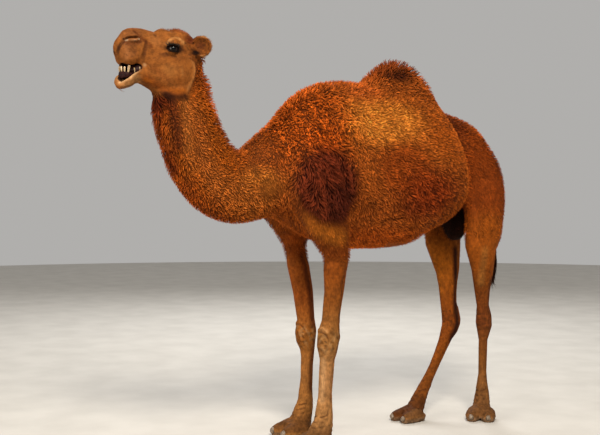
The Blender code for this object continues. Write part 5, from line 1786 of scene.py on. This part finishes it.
def locks(name, roots, corners, weights, rings, material, seed):
    """One mesh of locks: a ring of three points at each step along a lock, and one point at its tip."""
    maker = np.random.default_rng(seed)
    count = len(roots)
    normals = unit(from_skin(skin_normals, corners, weights))
    lie = lie_of_coat(roots, normals)
    swirl = 0.45 * waves(roots, 0.045, 31) * under_wool(roots) + maker.normal(size=count) * 0.16
    side = np.cross(lie, normals)
    lie = lie * np.cos(swirl)[:, None] + side * np.sin(swirl)[:, None]
    side = np.cross(lie, normals)
    style = lock_style(roots)
    depth = coat_depth(roots) * style["stand"] * maker.uniform(0.55, 1.08, count)
    length = style["length"] * maker.uniform(0.75, 1.25, count)

    # clumps: each lock belongs to the nearest of some locks, and leans towards it
    middles = roots[maker.choice(count, max(int(count / LOCKS_IN_CLUMP), 1), replace=False)]
    finder = KDTree(len(middles))
    for i, middle in enumerate(middles):
        finder.insert(middle, i)
    finder.balance()
    clump = np.array([finder.find(root)[1] for root in roots])
    toward = middles[clump] - roots
    toward -= normals * (toward * normals).sum(axis=1)[:, None]
    phase = maker.uniform(0, 2 * math.pi, len(middles))[clump] + maker.normal(size=count) * 0.5
    spread = 0.17 + 0.08 * shagginess(middles)
    shade = (maker.normal(size=len(middles)) * spread)[clump] + maker.normal(size=count) * 0.18
    hand = np.where(maker.random(len(middles)) < 0.5, -1.0, 1.0)[clump]

    # the path of each lock: along the lie, out of the skin, towards its clump, and round in a curl
    steps = np.arange(rings + 1) / rings
    t = steps[None, :, None]
    turn = (hand[:, None] * steps[None] * 2 * math.pi * CURL_TURNS + phase[:, None])[:, :, None]
    curl = style["curl"][:, None, None] * np.sqrt(t) * (1 - 0.35 * t)
    rise = np.sin(0.5 * math.pi * np.minimum(t * 1.25, 1.12))
    path = roots[:, None] + lie[:, None] * (length * style["along"])[:, None, None] * t**1.15
    path = path + normals[:, None] * (depth[:, None, None] * rise - ROOT_SINK)
    path = path + toward[:, None] * style["gather"][:, None, None] * t**1.5
    path = path + curl * (np.sin(turn) * side[:, None] + (np.cos(turn) * lie[:, None] * 0.9))

    # rings of three points round the path, thickest near the middle
    ways = unit(np.gradient(path, axis=1))
    across = unit(np.cross(ways, normals[:, None] + 0.3 * side[:, None]))
    above = np.cross(across, ways)
    thick = style["width"][:, None] * maker.uniform(0.75, 1.2, count)[:, None] / 2
    thick = (thick * (0.72 + 0.5 * np.sin(math.pi * steps)) * (1 - steps**2.2))[:, :, None]
    middle, across, above, thick = (part[:, :-1] for part in (path, across, above, thick))
    ring_points = np.stack([middle + thick * (math.cos(a) * across + 0.75 * math.sin(a) * above)
                            for a in np.radians((90, 210, 330))], 2)
    points = np.concatenate([ring_points.reshape(count, rings * 3, 3), path[:, -1:]], 1)

    obj = new_mesh(name, points.reshape(-1, 3), lock_faces(count, rings), material)
    along = np.repeat(steps[:-1], 3).tolist() + [1.0]
    set_colour(obj.data, lock_colours(roots, along, shade))
    put_bake_map(obj, roots, along)
    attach(obj, "root")
    return obj


# %% Bake map
PATCH = 0.003  # side of one lock's patch on the map


def put_bake_map(obj, roots, along):
    """A map on which each lock is a small patch at its root's place on the unrolled skin."""
    low, high = roots.min(axis=0), roots.max(axis=0)
    spread = high - low
    length_axis = int(np.argmax(spread[1:])) + 1
    other = 3 - length_axis
    centre = (low + high) / 2
    middle_x = 0.0 if low[0] < 0 < high[0] else low[0] * 0.5 + high[0] * 0.5
    if spread[0] > 0.12 and (low[0] > -0.05 or high[0] < 0.05):
        middle_x = 0.0
    beside = np.abs(roots[:, 0] - middle_x) * np.sign(centre[0] or 1)
    turn = np.arctan2(roots[:, other] - centre[other], beside)
    flat = np.stack([(roots[:, length_axis] - low[length_axis]) / spread[length_axis], turn], 1)
    flat[:, 1] = (flat[:, 1] - flat[:, 1].min()) / max(np.ptp(flat[:, 1]), 1e-6)
    flat = 0.01 + 0.98 * flat
    round_lock = np.append(np.tile((0.0, 0.5, 1.0), (len(along) - 1) // 3), 0.5)
    within = np.stack([np.asarray(along), round_lock], 1) - 0.5
    place = (flat[:, None] + PATCH * within[None]).reshape(-1, 2)
    layer = obj.data.uv_layers.new(name="OFBake")
    order = np.empty(len(obj.data.loops), np.int32)
    obj.data.loops.foreach_get("vertex_index", order)
    layer.data.foreach_set("uv", place[order].astype(np.float32).ravel())


# %% Dress the camel
def skin_zone(name, places):
    """Whether each place belongs to a zone of the coat."""
    behind = past_the_cheek(places)
    y, z = places[:, 1], places[:, 2]
    legs = (of_the_legs(places) > 0.5) & (y < 1.2)
    tail = of_the_tail(places) > 0.5
    trunk = (behind >= 0) & ~legs & ~tail
    neck_end = -0.5 - 0.45 * (z - 1.3)
    return {
        "head": (behind < 0),
        "neck": trunk & (y < neck_end),
        "shoulder": trunk & (y >= neck_end) & (y < -0.06),
        "barrel": trunk & (y >= neck_end) & (y >= -0.06) & (y < 0.42),
        "croup": trunk & (y >= 0.42) & (z >= 1.42),
        "thigh": trunk & (y >= 0.42) & (z < 1.42),
        "legs": legs & (z > 0.045),
        "tail": tail,
    }[name]


# zone, spacing of the roots in metres, rings along a lock
ZONES = [("head", 0.0085, 3), ("neck", 0.008, 3), ("shoulder", 0.0088, 4), ("barrel", 0.008, 3),
         ("croup", 0.0092, 3), ("thigh", 0.0105, 3), ("legs", 0.014, 2), ("tail", 0.007, 5)]
middles = skin_points[skin_triangles].mean(axis=1)
lining = inside_mouth(middles) > 0.3
eye_gap = np.linalg.norm(mirrored(middles) - EYE, axis=1) < EYE_RADIUS + 0.012
total = 0
for zone, spacing, rings in ZONES:
    for side, name in ((1, "left"), (-1, "right")):
        wanted = skin_zone(zone, middles) & (middles[:, 0] * side >= 0) & ~lining & ~eye_gap
        roots, corners, weights = scattered(spacing, 100 + len(zone) + side, wanted)
        coat = locks("coat_" + zone + "_" + name, roots, corners, weights, rings, WOOL, 7 * len(zone) + side)
        triangles = len(roots) * (6 * (rings - 1) + 4)
        total += triangles
        print(coat.name, len(roots), "locks", triangles, "triangles")
print("coat in all", total, "triangles")

# %% [markdown]
# ## Floor, light and camera
# A museum stands its animals on a pale, plain floor under large soft lights. One big light is the key, from
# the front and above on the camel's left, a second fills the shadow side, and a third lights the back.

# %% Floor
FLOOR_RADIUS = 14
FLOOR_CORNERS = 96

# painted board: matt and pale, with the faint cloudiness of a rolled paint
PAINT = two_tone("matt_floor_paint", "#BBB7B0", "#C4C0B9", 300, (1, 1, 1), {"Roughness": 0.85, "IOR": 1.5},
                 0.02)
turn = circle(FLOOR_CORNERS)
rim = np.stack([FLOOR_RADIUS * np.cos(turn), FLOOR_RADIUS * np.sin(turn), 0 * turn], 1)
floor = new_mesh("floor", rim, np.arange(FLOOR_CORNERS)[None], PAINT, smooth=False)
floor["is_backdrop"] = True
print("floor", 2 * FLOOR_RADIUS, "m wide")

# %% Lights
def soft_light(name, place, target, size, power, code="#FFFFFF"):
    """A round area light that points at a target: its diameter in metres, and its power in watts."""
    lamp = bpy.data.lights.new(name, "AREA")
    lamp.shape = "DISK"
    lamp.size = size
    lamp.energy = power
    lamp.color = linear(code)
    obj = in_scene(name, lamp)
    obj.location = place
    obj.rotation_euler = (Vector(target) - Vector(place)).to_track_quat("-Z", "Y").to_euler()


soft_light("key", (4.6, -2.6, 5.6), (0, 0, 1.2), 2.2, 640, "#FFF6E8")
soft_light("fill", (0.0, -7.5, 2.6), (0, 0, 1.0), 4.0, 330, "#FFFBF4")
soft_light("back", (-4.5, 3.5, 5.0), (0, 0, 1.3), 3.0, 300, "#FFFFFF")
world = bpy.data.worlds.new("studio")
world.use_nodes = True
world.node_tree.nodes["Background"].inputs["Color"].default_value = rgba("#E6E4E1")
world.node_tree.nodes["Background"].inputs["Strength"].default_value = 0.55
bpy.context.scene.world = world
bpy.context.scene.view_settings.view_transform = "Standard"

# %% Camera
CAMERA_PLACE = (4.483, -3.717, 1.35)  # eye level of a person standing about 6 m away
AZIMUTH = math.radians(52)
PITCH = math.radians(1.565)
FOCAL_LENGTH = 64.8  # millimetres, on a sensor 36 mm wide
SENSOR_WIDTH = 36

lens = bpy.data.cameras.new("camera")
lens.lens = FOCAL_LENGTH
lens.sensor_width = SENSOR_WIDTH
camera = in_scene("camera", lens)
camera.location = CAMERA_PLACE
camera.rotation_euler = (math.pi / 2 - PITCH, 0, AZIMUTH)
bpy.context.scene.camera = camera

# %% Sizes
made_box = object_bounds()
growth = [[round(float(m - s) * 1000, 1) for m, s in zip(*pair)] for pair in zip(made_box, solid_box)]
print("grown by", growth, "mm")
